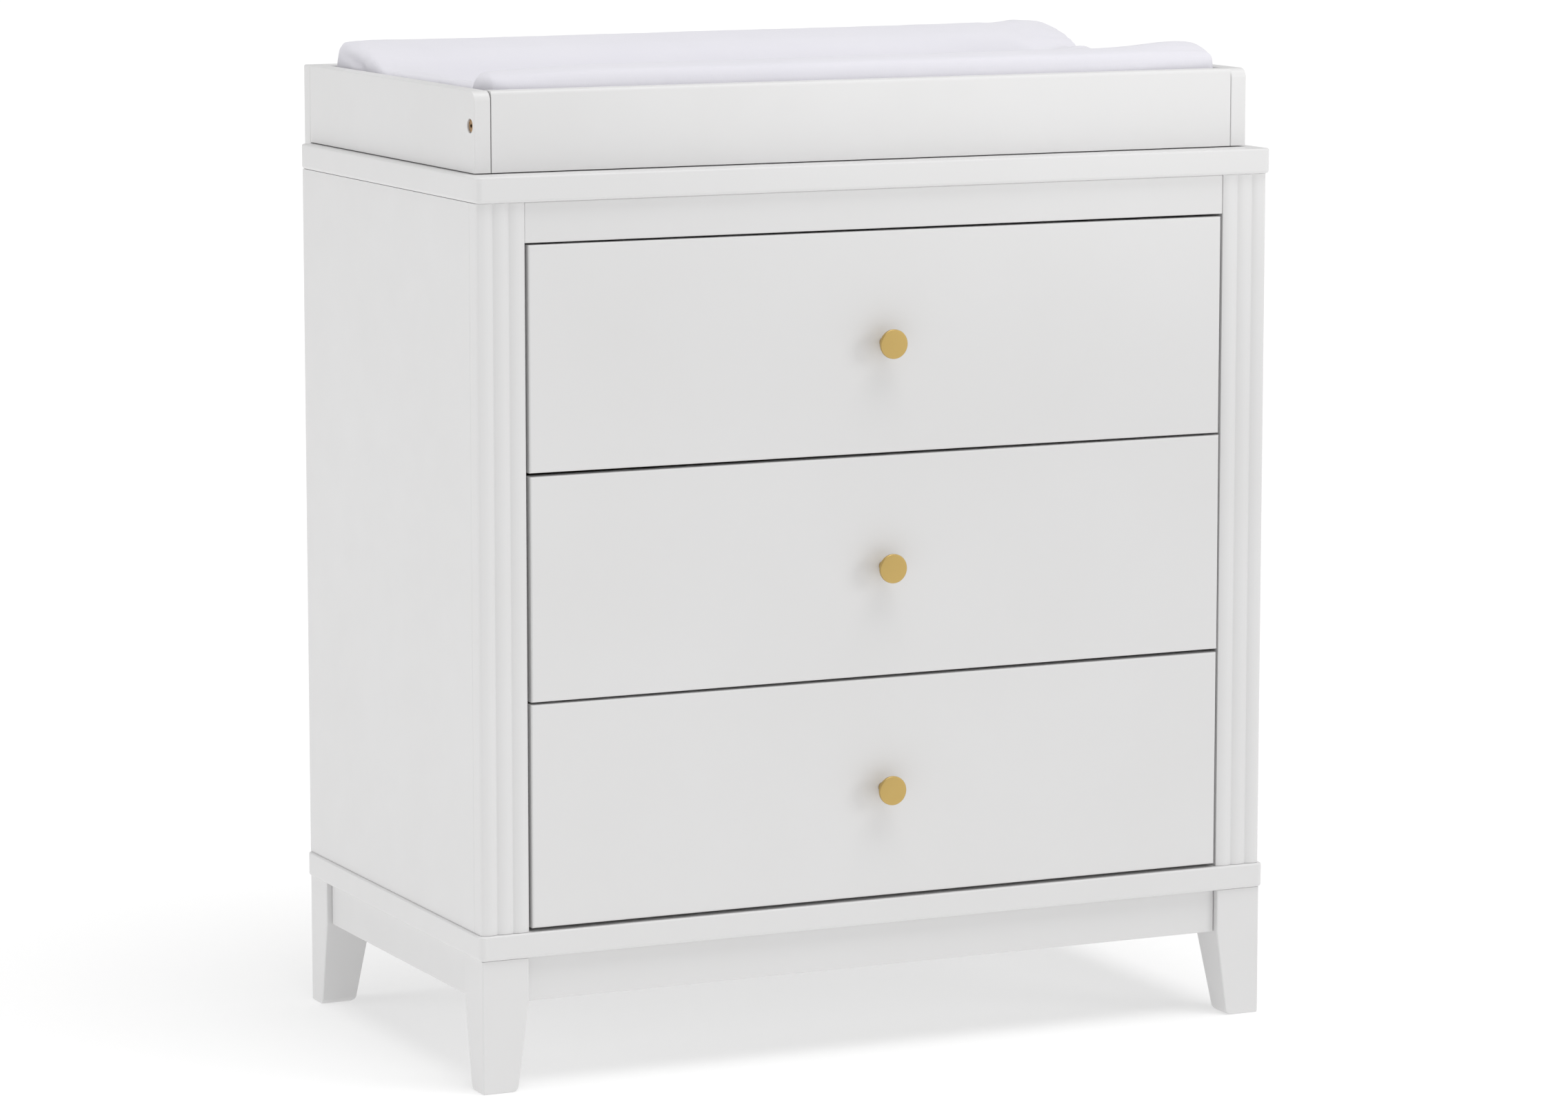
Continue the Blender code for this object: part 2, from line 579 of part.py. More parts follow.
# ---------------------------------------------------------------- assembly
def build_cabinet(cabinet):
    slab("bottom_panel", BASE_Z, BODY_BOTTOM_Z, BASE_OVERHANG, cabinet)
    slab("top_panel", BODY_TOP_Z, TOP_Z, TOP_OVERHANG, cabinet)
    for side, word in ((-1, "left"), (1, "right")):
        side_panel(f"side_panel_{word}", side, cabinet)
        front_post(f"front_post_{word}", side, cabinet)
        leg(f"leg_front_{word}", side, False, cabinet)
        leg(f"leg_rear_{word}", side, True, cabinet)
        apron_y(f"apron_{word}", side, cabinet)
        tray_side_board(f"tray_{word}_board", side, cabinet)
        tray_bolt(f"tray_bolt_{word}", side, cabinet)
    front_rail(cabinet)
    rear_rail(cabinet)
    back_panel(cabinet)
    apron_x("apron_front", APRON_SETBACK_FRONT, cabinet)
    apron_x("apron_rear", BODY_DEPTH - APRON_SETBACK_FRONT - PANEL, cabinet)
    tray_front_board(cabinet)
    tray_rear_board(cabinet)
    changing_pad(cabinet)


def build_drawer(level, index, cabinet):
    """One drawer on its pair of slides; each empty stands on the slide joint's axis."""
    height = DRAWER_FIRST_Z + index * DRAWER_PITCH
    drawer = body_empty(f"drawer_{level}_body", z=height)
    runners = body_empty(f"slides_{level}_body", z=height)
    fixed = body_empty(f"fixed_slides_{level}", y=0.0, z=height)
    fixed.parent = cabinet
    drawer_front(level, drawer)
    drawer_back(level, drawer)
    drawer_floor(level, drawer)
    drawer_knob(level, drawer)
    for side in (-1, 1):
        drawer_side(level, side, drawer)
        slide_member("outer", level, side, fixed)
        slide_member("middle", level, side, runners)
        slide_member("inner", level, side, drawer)


def main():
    clear_scene()
    cabinet = body_empty("cabinet_body")
    build_cabinet(cabinet)
    for index, level in enumerate(DRAWER_LEVELS):
        build_drawer(level, index, cabinet)


main()
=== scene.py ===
import math

import bmesh
import bpy
from mathutils import Matrix, Vector, noise


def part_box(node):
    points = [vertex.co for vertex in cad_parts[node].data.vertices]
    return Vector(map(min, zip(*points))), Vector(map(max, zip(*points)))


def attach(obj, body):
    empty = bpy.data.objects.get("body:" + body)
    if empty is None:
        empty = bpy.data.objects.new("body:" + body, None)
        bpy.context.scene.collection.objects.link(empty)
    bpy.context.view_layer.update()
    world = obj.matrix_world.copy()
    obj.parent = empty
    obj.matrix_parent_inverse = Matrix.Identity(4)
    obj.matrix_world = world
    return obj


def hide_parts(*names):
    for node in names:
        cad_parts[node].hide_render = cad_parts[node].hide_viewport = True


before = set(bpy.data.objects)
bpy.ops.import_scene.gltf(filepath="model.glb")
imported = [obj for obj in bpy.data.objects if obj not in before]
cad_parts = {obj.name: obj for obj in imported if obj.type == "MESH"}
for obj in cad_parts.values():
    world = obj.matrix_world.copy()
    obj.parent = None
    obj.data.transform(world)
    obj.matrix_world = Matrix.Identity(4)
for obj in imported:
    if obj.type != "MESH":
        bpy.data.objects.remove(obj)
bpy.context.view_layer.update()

scene = bpy.context.scene
scene.view_settings.view_transform = "Standard"
nearly = 0.00002        # two places closer than this are the same
hands = ((-1, "left"), (1, "right"))
levels = ("bottom", "middle", "top")
print("frame loaded:", len(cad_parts), "nodes")


# small tools for meshes
def block(low, high):
    shape = bmesh.new()
    bmesh.ops.create_cube(shape, size=1.0)
    bmesh.ops.scale(shape, vec=high - low, verts=shape.verts)
    bmesh.ops.translate(shape, vec=(low + high) / 2, verts=shape.verts)
    return shape


def liesAt(part, axis, value):
    return all(abs(corner.co[axis] - value) < nearly for corner in part.verts)


def runsAlong(edge, axis):
    span = edge.verts[1].co - edge.verts[0].co
    return abs(span[axis]) > 0.99 * span.length


def roundEdges(shape, edges, radius, segments=4):
    bmesh.ops.bevel(shape, geom=list(edges), offset=radius, segments=segments, profile=0.5,
                    affect="EDGES", clamp_overlap=True, material=-1)


def pulled(shape, face, travel):       # push one face out along travel, leaving walls behind it
    grown = bmesh.ops.extrude_face_region(shape, geom=[face])["geom"]
    moved = [part for part in grown if isinstance(part, bmesh.types.BMVert)]
    bmesh.ops.translate(shape, vec=travel, verts=moved)
    return shape


def plank(points, travel):             # a flat outline, pulled out along travel
    shape = bmesh.new()
    face = shape.faces.new([shape.verts.new(point) for point in points])
    pulled(shape, face, Vector(travel))
    bmesh.ops.recalc_face_normals(shape, faces=shape.faces)
    return shape


def turned(profile, middle, aim, steps):       # a profile of (radius, reach) spun about aim
    shape = bmesh.new()
    corners = [shape.verts.new((radius, 0.0, reach)) for radius, reach in profile]
    edges = [shape.edges.new(pair) for pair in zip(corners, corners[1:])]
    bmesh.ops.spin(shape, geom=corners + edges, axis=(0.0, 0.0, 1.0), cent=(0.0, 0.0, 0.0),
                   angle=math.tau, steps=steps, use_merge=True, use_duplicate=False)
    bmesh.ops.remove_doubles(shape, verts=shape.verts, dist=nearly / 4)
    bmesh.ops.recalc_face_normals(shape, faces=shape.faces)
    turn = Vector((0.0, 0.0, 1.0)).rotation_difference(Vector(aim)).to_matrix().to_4x4()
    bmesh.ops.transform(shape, matrix=Matrix.Translation(middle) @ turn, verts=shape.verts)
    return shape


def mirrored(shape):
    bmesh.ops.scale(shape, vec=(-1.0, 1.0, 1.0), verts=shape.verts)
    bmesh.ops.recalc_face_normals(shape, faces=shape.faces)
    return shape


def piece(name, shape, material, body, nodes=(), smooth=32.0):
    mesh = bpy.data.meshes.new(name)
    shape.to_mesh(mesh)
    shape.free()
    mesh.shade_smooth()
    mesh.set_sharp_from_angle(angle=math.radians(smooth))
    mesh.materials.append(material)
    made = bpy.data.objects.new(name, mesh)
    scene.collection.objects.link(made)
    made.modifiers.new("flatFaces", "WEIGHTED_NORMAL").keep_sharp = True
    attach(made, body)
    if nodes:
        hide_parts(*nodes)
    return made


def cutAway(shape, cutters):           # subtract closed shapes from another
    def asObject(name, source):
        mesh = bpy.data.meshes.new(name)
        source.to_mesh(mesh)
        source.free()
        made = bpy.data.objects.new(name, mesh)
        scene.collection.objects.link(made)
        return made

    whole = asObject("wholeBoard", shape)
    tools = [asObject(f"drill{index}", cutter) for index, cutter in enumerate(cutters)]
    for tool in tools:
        boolean = whole.modifiers.new(tool.name, "BOOLEAN")
        boolean.operation, boolean.solver, boolean.object = "DIFFERENCE", "EXACT", tool
    bpy.context.view_layer.update()
    seen = whole.evaluated_get(bpy.context.evaluated_depsgraph_get())
    result = bmesh.new()
    result.from_mesh(seen.to_mesh())
    seen.to_mesh_clear()
    for thing in [whole, *tools]:
        mesh = thing.data
        bpy.data.objects.remove(thing)
        bpy.data.meshes.remove(mesh)
    return result


# small tools for materials
def addNode(tree, kind, values=None, **settings):
    node = tree.nodes.new(kind)
    for key, value in settings.items():
        setattr(node, key, value)
    for socket, value in (values or {}).items():
        node.inputs[socket].default_value = value
    return node


def newMaterial(name, colour, roughness, **sockets):
    material = bpy.data.materials.new(name)
    material.use_nodes = True
    tree = material.node_tree
    shader = tree.nodes["Principled BSDF"]
    shader.inputs["Base Color"].default_value = (*colour, 1.0)
    shader.inputs["Roughness"].default_value = roughness
    for socket, value in sockets.items():
        shader.inputs[socket.replace("_", " ")].default_value = value
    return material, tree, shader


def placed(tree, scale=(1.0, 1.0, 1.0), turn=(0.0, 0.0, 0.0)):     # object coordinates, stretched or turned
    source = addNode(tree, "ShaderNodeTexCoord")
    mapping = addNode(tree, "ShaderNodeMapping", {"Scale": scale, "Rotation": turn})
    tree.links.new(source.outputs["Object"], mapping.inputs["Vector"])
    return mapping.outputs["Vector"]


def noiseAt(tree, where, scale, detail=2.0, roughness=0.5, distortion=0.0):
    made = addNode(tree, "ShaderNodeTexNoise",
                   {"Scale": scale, "Detail": detail, "Roughness": roughness, "Distortion": distortion})
    tree.links.new(where, made.inputs["Vector"])
    return made.outputs["Fac"]


def spread(tree, source, low, high, fromLow=0.3, fromHigh=0.7):     # remap a pattern to a range
    made = addNode(tree, "ShaderNodeMapRange",
                   {"From Min": fromLow, "From Max": fromHigh, "To Min": low, "To Max": high})
    tree.links.new(source, made.inputs["Value"])
    return made.outputs["Result"]


def colourBetween(tree, source, first, second):
    made = addNode(tree, "ShaderNodeMix", data_type="RGBA")
    made.inputs[6].default_value = (*first, 1.0)
    made.inputs[7].default_value = (*second, 1.0)
    tree.links.new(source, made.inputs[0])
    return made.outputs[2]


def addBump(tree, shader, heights, strengths, depth):       # several height patterns, chained
    normal = None
    for height, strength in zip(heights, strengths):
        bump = addNode(tree, "ShaderNodeBump", {"Strength": strength, "Distance": depth})
        tree.links.new(height, bump.inputs["Height"])
        if normal:
            tree.links.new(normal, bump.inputs["Normal"])
        normal = bump.outputs["Normal"]
    tree.links.new(normal, shader.inputs["Normal"])


# finishes
lacquerLook = dict(colour=(0.745, 0.742, 0.742), worn=(0.733, 0.729, 0.727), gloss=(0.34, 0.46),
                   peel=260.0, peelStrength=0.055, grainStrength=0.05, depth=0.0006)


def lacquer(name, grainAxis):
    material, tree, shader = newMaterial(name, lacquerLook["colour"], 0.4)
    cloudy = noiseAt(tree, placed(tree), 5.0, 4.0, 0.6)
    tint = colourBetween(tree, spread(tree, cloudy, 0.0, 1.0), lacquerLook["colour"], lacquerLook["worn"])
    tree.links.new(tint, shader.inputs["Base Color"])
    handled = noiseAt(tree, placed(tree), 22.0, 5.0, 0.65)
    tree.links.new(spread(tree, handled, *lacquerLook["gloss"]), shader.inputs["Roughness"])
    stretch = [90.0, 90.0, 90.0]
    stretch[grainAxis] = 2.5
    grain = noiseAt(tree, placed(tree, stretch), 5.0, 4.0, 0.7, 0.4)
    peel = noiseAt(tree, placed(tree), lacquerLook["peel"], 3.0, 0.55)
    addBump(tree, shader, (grain, peel), (lacquerLook["grainStrength"], lacquerLook["peelStrength"]),
            lacquerLook["depth"])
    return material


lacquerAcross = lacquer("lacquerAcross", 0)
lacquerDeep = lacquer("lacquerDeep", 1)
lacquerUpright = lacquer("lacquerUpright", 2)

foilLook = dict(colour=(0.60, 0.60, 0.59), fleck=(0.53, 0.52, 0.50), rough=(0.55, 0.70))


def foil(name):
    material, tree, shader = newMaterial(name, foilLook["colour"], 0.6)
    fibres = noiseAt(tree, placed(tree, (1.0, 1.0, 0.25)), 340.0, 4.0, 0.7)
    tree.links.new(colourBetween(tree, spread(tree, fibres, 0.0, 1.0), foilLook["colour"], foilLook["fleck"]),
                   shader.inputs["Base Color"])
    tree.links.new(spread(tree, fibres, *foilLook["rough"]), shader.inputs["Roughness"])
    addBump(tree, shader, (fibres,), (0.15,), 0.0004)
    return material


carcassFoil = foil("carcassFoil")

birchLook = dict(pale=(0.74, 0.58, 0.39), dark=(0.60, 0.42, 0.25), rough=(0.42, 0.58))


def birch(name, along):
    material, tree, shader = newMaterial(name, birchLook["pale"], 0.5)
    stretch = [14.0, 14.0, 14.0]
    stretch[along] = 0.9
    figure = noiseAt(tree, placed(tree, stretch), 2.6, 6.0, 0.62, 1.6)
    pores = [160.0, 160.0, 160.0]
    pores[along] = 9.0
    fine = noiseAt(tree, placed(tree, pores), 6.0, 3.0, 0.6)
    both = addNode(tree, "ShaderNodeMath", operation="MULTIPLY_ADD")
    both.inputs[1].default_value = 0.35
    tree.links.new(fine, both.inputs[0])
    tree.links.new(spread(tree, figure, 0.0, 0.65), both.inputs[2])
    tree.links.new(colourBetween(tree, both.outputs[0], birchLook["pale"], birchLook["dark"]),
                   shader.inputs["Base Color"])
    tree.links.new(spread(tree, fine, *birchLook["rough"]), shader.inputs["Roughness"])
    addBump(tree, shader, (fine,), (0.18,), 0.0003)
    return material


birchDeep = birch("birchDeep", 1)
birchAcross = birch("birchAcross", 0)

hardboardLook = dict(colour=(0.68, 0.67, 0.64), fleck=(0.60, 0.58, 0.54))


def hardboard(name):
    material, tree, shader = newMaterial(name, hardboardLook["colour"], 0.6)
    mottled = noiseAt(tree, placed(tree), 130.0, 5.0, 0.7)
    tree.links.new(colourBetween(tree, spread(tree, mottled, 0.0, 1.0), hardboardLook["colour"],
                                 hardboardLook["fleck"]), shader.inputs["Base Color"])
    tree.links.new(spread(tree, mottled, 0.5, 0.68), shader.inputs["Roughness"])
    addBump(tree, shader, (mottled,), (0.12,), 0.0005)
    return material


drawerBase = hardboard("drawerBase")


def brushedMetal(name, colour, dull, rough, lines, strength):      # lines run with the piece's own turning
    material, tree, shader = newMaterial(name, colour, rough[0], Metallic=1.0)
    ownMap = addNode(tree, "ShaderNodeUVMap", uv_map="turning")
    mapping = addNode(tree, "ShaderNodeMapping", {"Scale": (3.0, lines, 1.0)})
    tree.links.new(ownMap.outputs["UV"], mapping.inputs["Vector"])
    strokes = noiseAt(tree, mapping.outputs["Vector"], 1.0, 5.0, 0.65)
    clouds = noiseAt(tree, placed(tree), 90.0, 3.0, 0.5)
    tree.links.new(colourBetween(tree, spread(tree, strokes, 0.0, 1.0), colour, dull),
                   shader.inputs["Base Color"])
    tree.links.new(spread(tree, clouds, *rough), shader.inputs["Roughness"])
    addBump(tree, shader, (strokes,), (strength,), 0.0002)
    return material


goldLook = dict(colour=(0.555, 0.395, 0.148), dull=(0.575, 0.405, 0.142), rough=(0.36, 0.46), lines=2600.0,
                strength=0.10)
bronzeLook = dict(colour=(0.44, 0.27, 0.13), dull=(0.34, 0.20, 0.09), rough=(0.30, 0.45), lines=3000.0,
                  strength=0.12)
brushedGold = brushedMetal("brushedGold", **goldLook)
boltBronze = brushedMetal("boltBronze", **bronzeLook)

zincLook = dict(colour=(0.62, 0.63, 0.65), dark=(0.58, 0.59, 0.62), bright=(0.67, 0.68, 0.70),
                rough=(0.26, 0.42), spangle=160.0)


def zinc(name):
    material, tree, shader = newMaterial(name, zincLook["colour"], 0.35, Metallic=1.0)
    spangle = addNode(tree, "ShaderNodeTexVoronoi", {"Scale": zincLook["spangle"]})
    tree.links.new(placed(tree), spangle.inputs["Vector"])
    rolled = noiseAt(tree, placed(tree, (300.0, 4.0, 300.0)), 2.0, 3.0, 0.6)
    tree.links.new(colourBetween(tree, spread(tree, spangle.outputs["Distance"], 0.0, 1.0, 0.0, 1.0),
                                 zincLook["dark"], zincLook["bright"]), shader.inputs["Base Color"])
    tree.links.new(spread(tree, rolled, *zincLook["rough"]), shader.inputs["Roughness"])
    addBump(tree, shader, (rolled,), (0.10,), 0.0002)
    return material


zincSteel = zinc("zincSteel")

coverLook = dict(colour=(0.741, 0.732, 0.780), shade=(0.712, 0.703, 0.757), thread=1100.0, nap=380.0,
                 rough=(0.80, 0.95), sheen=0.25)


def cotton(name):
    material, tree, shader = newMaterial(name, coverLook["colour"], 0.88, Sheen_Weight=coverLook["sheen"],
                                         Sheen_Roughness=0.45)
    where = placed(tree)
    heights = []
    for angle in (0.0, 90.0):
        laid = placed(tree, turn=(0.0, 0.0, math.radians(angle)))
        thread = addNode(tree, "ShaderNodeTexWave",
                         {"Scale": coverLook["thread"] / math.tau, "Distortion": 0.6, "Detail": 1.0,
                          "Detail Scale": 2.0}, wave_type="BANDS", bands_direction="X")
        tree.links.new(laid, thread.inputs["Vector"])
        heights.append(thread.outputs["Fac"])
    woven = addNode(tree, "ShaderNodeMath", operation="MULTIPLY")
    tree.links.new(heights[0], woven.inputs[0])
    tree.links.new(heights[1], woven.inputs[1])
    nap = noiseAt(tree, where, coverLook["nap"], 4.0, 0.6)
    soft = noiseAt(tree, where, 9.0, 3.0, 0.5)
    tree.links.new(colourBetween(tree, spread(tree, soft, 0.0, 0.7), coverLook["colour"], coverLook["shade"]),
                   shader.inputs["Base Color"])
    tree.links.new(spread(tree, nap, *coverLook["rough"]), shader.inputs["Roughness"])
    addBump(tree, shader, (woven.outputs[0], nap), (0.10, 0.10), 0.0004)
    return material


padCotton = cotton("padCotton")
print("finishes ready")

# camera
cameraSetup = dict(place=(-2.6262, -5.6006, 1.4009), tiltDown=8.395, turn=25.127, lens=134.05)
cameraData = bpy.data.cameras.new("tableCamera")
cameraData.lens = cameraSetup["lens"]
cameraData.sensor_width = 36.0
tableCamera = bpy.data.objects.new("tableCamera", cameraData)
tableCamera.location = cameraSetup["place"]
tableCamera.rotation_euler = (math.radians(90.0 - cameraSetup["tiltDown"]), 0.0,
                              math.radians(-cameraSetup["turn"]))
scene.collection.objects.link(tableCamera)
scene.camera = tableCamera

# top and bottom panel
slabLook = dict(corner=0.007, cornerSegments=8, upperRim=0.0020, lowerRim=0.0034, rimSegments=5)
for node, name in (("top_panel", "topPanel"), ("bottom_panel", "bottomPanel")):
    low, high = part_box(node)
    shape = block(low, high)
    roundEdges(shape, [edge for edge in shape.edges if runsAlong(edge, 2)], slabLook["corner"],
               slabLook["cornerSegments"])
    roundEdges(shape, [edge for edge in shape.edges if liesAt(edge, 2, high.z)], slabLook["upperRim"],
               slabLook["rimSegments"])
    roundEdges(shape, [edge for edge in shape.edges if liesAt(edge, 2, low.z)], slabLook["lowerRim"],
               slabLook["rimSegments"])
    piece(name, shape, lacquerAcross, "cabinet", (node,))

# reeded front posts, with the side panels that are let into them
postLook = dict(reeds=3, rise=0.0022, steps=12, valley=0.0005, corner=0.0045, cornerSteps=8, panel=0.018,
                gap=0.0003, arris=0.0008, stile=0.082)
for side, word in hands:
    low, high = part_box("front_post_right")
    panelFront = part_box("side_panel_right")[0].y
    reed = (high.x - low.x) / postLook["reeds"]
    radius = (reed ** 2 / 4 + postLook["rise"] ** 2) / (2 * postLook["rise"])
    halfTurn = math.asin(reed / 2 / radius)
    corner = postLook["corner"]
    lastTurn = math.asin((reed / 2 - corner) / (radius - corner))
    shape = bmesh.new()
    for index in range(postLook["reeds"]):
        middle = low.x + reed * (index + 0.5)
        valley = shape.verts.new((middle - reed / 2, low.y + postLook["rise"], low.z))
        lastReed = index == postLook["reeds"] - 1
        ended = bmesh.ops.spin(shape, geom=[valley], axis=(0.0, 0.0, 1.0),
                               cent=(middle, low.y + radius, low.z),
                               angle=halfTurn + (lastTurn if lastReed else halfTurn),
                               steps=postLook["steps"], use_merge=False, use_duplicate=False)["geom_last"]
    centre = (high.x - corner, low.y + radius - math.cos(lastTurn) * (radius - corner), low.z)
    bmesh.ops.spin(shape, geom=ended, axis=(0.0, 0.0, 1.0), cent=centre, angle=math.pi / 2 - lastTurn,
                   steps=postLook["cornerSteps"], use_merge=False, use_duplicate=False)
    bmesh.ops.remove_doubles(shape, verts=shape.verts, dist=nearly)
    shape.verts.ensure_lookup_table()
    first = min(shape.verts, key=lambda corner: (corner.co.x, corner.co.y))
    last = max((corner for corner in shape.verts if abs(corner.co.x - high.x) < nearly), key=lambda c: c.co.y)
    rebateX = high.x - postLook["panel"] - postLook["gap"]
    path = [last]
    for x, y in ((high.x, panelFront - postLook["gap"]), (rebateX, panelFront - postLook["gap"]),
                 (rebateX, high.y), (low.x, high.y)):
        path.append(shape.verts.new((x, y, low.z)))
    for pair in zip(path, path[1:] + [first]):
        shape.edges.new(pair)
    face = bmesh.ops.contextual_create(shape, geom=shape.edges)["faces"][0]
    pulled(shape, face, Vector((0.0, 0.0, high.z - low.z)))
    bmesh.ops.recalc_face_normals(shape, faces=shape.faces)
    valleys = [edge for edge in shape.edges if runsAlong(edge, 2)
               and abs(edge.verts[0].co.y - low.y - postLook["rise"]) < nearly
               and low.x + nearly < edge.verts[0].co.x < high.x - reed / 2]
    roundEdges(shape, valleys, postLook["valley"], 3)
    if side < 0:
        mirrored(shape)
    piece(f"frontPost.{word}", shape, lacquerUpright, "cabinet", (f"front_post_{word}",),
          smooth=40.0)

    low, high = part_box("side_panel_right")
    stileY = high.y - postLook["stile"]
    faceX = high.x - postLook["panel"]
    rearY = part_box("back_panel")[0].y - postLook["gap"]
    points = [(high.x, low.y), (high.x, high.y), (faceX, high.y), (faceX, rearY), (low.x, rearY),
              (low.x, stileY), (faceX, stileY), (faceX, low.y)]
    shape = plank([(x, y, low.z) for x, y in points], (0.0, 0.0, high.z - low.z))
    roundEdges(shape, [edge for edge in shape.edges if runsAlong(edge, 2) and liesAt(edge, 0, high.x)],
               postLook["arris"], 3)
    if side < 0:
        mirrored(shape)
    piece(f"sidePanel.{word}", shape, lacquerUpright, "cabinet", (f"side_panel_{word}",))
print("cabinet sides ready")

# rails, aprons and back
boards = (
    ("frontRail", "front_rail", lacquerAcross, 0.0010, "white_lacquer"),
    ("rearRail", "rear_rail", carcassFoil, 0.0006, "carcass_board"),
    ("backPanel", "back_panel", carcassFoil, 0.0005, "carcass_board"),
    ("frontApron", "apron_front", lacquerAcross, 0.0016, "white_lacquer"),
    ("rearApron", "apron_rear", lacquerAcross, 0.0016, "white_lacquer"),
    ("leftApron", "apron_left", lacquerDeep, 0.0016, "white_lacquer"),
    ("rightApron", "apron_right", lacquerDeep, 0.0016, "white_lacquer"),
    ("trayRearBoard", "tray_rear_board", lacquerAcross, 0.0018, "white_lacquer"),
)
for name, node, material, radius, slot in boards:
    shape = block(*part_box(node))
    roundEdges(shape, shape.edges, radius, 4)
    piece(name, shape, material, "cabinet", (node,))

# tapered legs
legLook = dict(footWidth=0.0385, footDepth=0.031, footRound=0.006, arris=0.0016, taperStart=0.0915)
for row in ("front", "rear"):
    for side, word in hands:
        low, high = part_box(f"leg_{row}_{word}")
        shape = block(low, high)
        bmesh.ops.bisect_plane(shape, geom=shape.verts[:] + shape.edges[:] + shape.faces[:], dist=nearly,
                               plane_co=(0.0, 0.0, legLook["taperStart"]), plane_no=(0.0, 0.0, 1.0))
        innerX, outerX = (low.x, high.x) if side > 0 else (high.x, low.x)
        innerY, outerY = (high.y, low.y) if row == "front" else (low.y, high.y)
        away = 1 if row == "front" else -1
        moveX = outerX - side * legLook["footWidth"] - innerX
        moveY = outerY + away * legLook["footDepth"] - innerY
        ground = [corner for corner in shape.verts if abs(corner.co.z - low.z) < nearly]
        bmesh.ops.translate(shape, vec=(moveX, 0.0, 0.0),
                            verts=[corner for corner in ground if abs(corner.co.x - innerX) < nearly])
        bmesh.ops.translate(shape, vec=(0.0, moveY, 0.0),
                            verts=[corner for corner in ground if abs(corner.co.y - innerY) < nearly])
        sole = [edge for edge in shape.edges if liesAt(edge, 2, low.z)
                and (liesAt(edge, 0, innerX + moveX) or liesAt(edge, 1, innerY + moveY))]
        roundEdges(shape, sole, legLook["footRound"], 6)
        roundEdges(shape, [edge for edge in shape.edges if not liesAt(edge, 2, high.z) and edge.is_convex
                           and edge.calc_face_angle(0.0) > math.radians(40.0)], legLook["arris"], 4)
        piece(f"leg.{row}.{word}", shape, lacquerUpright, "cabinet", (f"leg_{row}_{word}",))
print("base ready")

# changing tray
trayLook = dict(corner=0.010, cornerSegments=10, rim=0.0011, frontRim=0.0042, endGap=0.0005, sinkDepth=0.004,
                sink=0.0072, shank=0.0033, boltZ=0.9795, boltBack=0.011, holeRim=0.0004, boreDepth=0.033,
                drillPast=0.02)


def drill(radius, startX, endX, y, z):
    shape = bmesh.new()
    turn = Matrix.Rotation(math.pi / 2, 4, "Y")
    centre = Matrix.Translation(((startX + endX) / 2, y, z))
    bmesh.ops.create_cone(shape, cap_ends=True, segments=64, radius1=radius, radius2=radius,
                          depth=abs(endX - startX), matrix=centre @ turn)
    return shape


for side, word in hands:
    low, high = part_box(f"tray_{word}_board")
    outerX, innerX = (high.x, low.x) if side > 0 else (low.x, high.x)
    boltY = low.y + trayLook["boltBack"]
    shape = block(low, high)
    roundEdges(shape, [edge for edge in shape.edges if liesAt(edge, 1, low.y) and liesAt(edge, 2, high.z)],
               trayLook["corner"], trayLook["cornerSegments"])
    roundEdges(shape, [edge for edge in shape.edges if (liesAt(edge, 0, low.x) or liesAt(edge, 0, high.x))
                       and not liesAt(edge, 2, low.z)], trayLook["rim"], 4)
    shape = cutAway(shape, [
        drill(trayLook["shank"], innerX - side * trayLook["drillPast"], outerX + side * trayLook["drillPast"],
              boltY, trayLook["boltZ"]),
        drill(trayLook["sink"], outerX - side * trayLook["sinkDepth"], outerX + side * trayLook["drillPast"],
              boltY, trayLook["boltZ"])])
    hole = Vector((outerX, boltY, trayLook["boltZ"]))
    rim = [edge for edge in shape.edges if liesAt(edge, 0, outerX)
           and all(abs((corner.co - hole).length - trayLook["sink"]) < nearly for corner in edge.verts)]
    roundEdges(shape, rim, trayLook["holeRim"], 2)
    piece(f"traySideBoard.{word}", shape, lacquerDeep, "cabinet", (f"tray_{word}_board",))

low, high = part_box("tray_front_board")
low.x, high.x = low.x + trayLook["endGap"], high.x - trayLook["endGap"]
shape = block(low, high)
roundEdges(shape, [edge for edge in shape.edges if liesAt(edge, 2, high.z) and liesAt(edge, 1, low.y)],
           trayLook["frontRim"], 6)
roundEdges(shape, [edge for edge in shape.edges if liesAt(edge, 2, high.z) and liesAt(edge, 1, high.y)],
           trayLook["rim"], 4)
boreY = low.y + trayLook["boltBack"]
boreStart, boreEnd = high.x - trayLook["boreDepth"], high.x + trayLook["drillPast"] / 2
shape = cutAway(shape, [drill(trayLook["shank"], side * boreStart, side * boreEnd, boreY, trayLook["boltZ"])
                        for side, word in hands])
piece("trayFrontBoard", shape, lacquerAcross, "cabinet", ("tray_front_board",))

# bolts with a hexagon socket, sunk in the tray's sides
boltLook = dict(radius=0.0066, head=0.0026, soft=0.0006, socket=0.0023, socketDepth=0.0016, shank=0.003,
                length=0.046, seat=0.0003, mouth=1.25)


def wrapTurning(shape, middle, aim):       # angle and distance from the axis as the piece's own map
    layer = shape.loops.layers.uv.new("turning")
    for face in shape.faces:
        for loop in face.loops:
            span = loop.vert.co - middle
            flat = span - span.dot(aim) * aim
            loop[layer].uv = (flat.normalized().x + flat.normalized().z, flat.length + span.dot(aim))


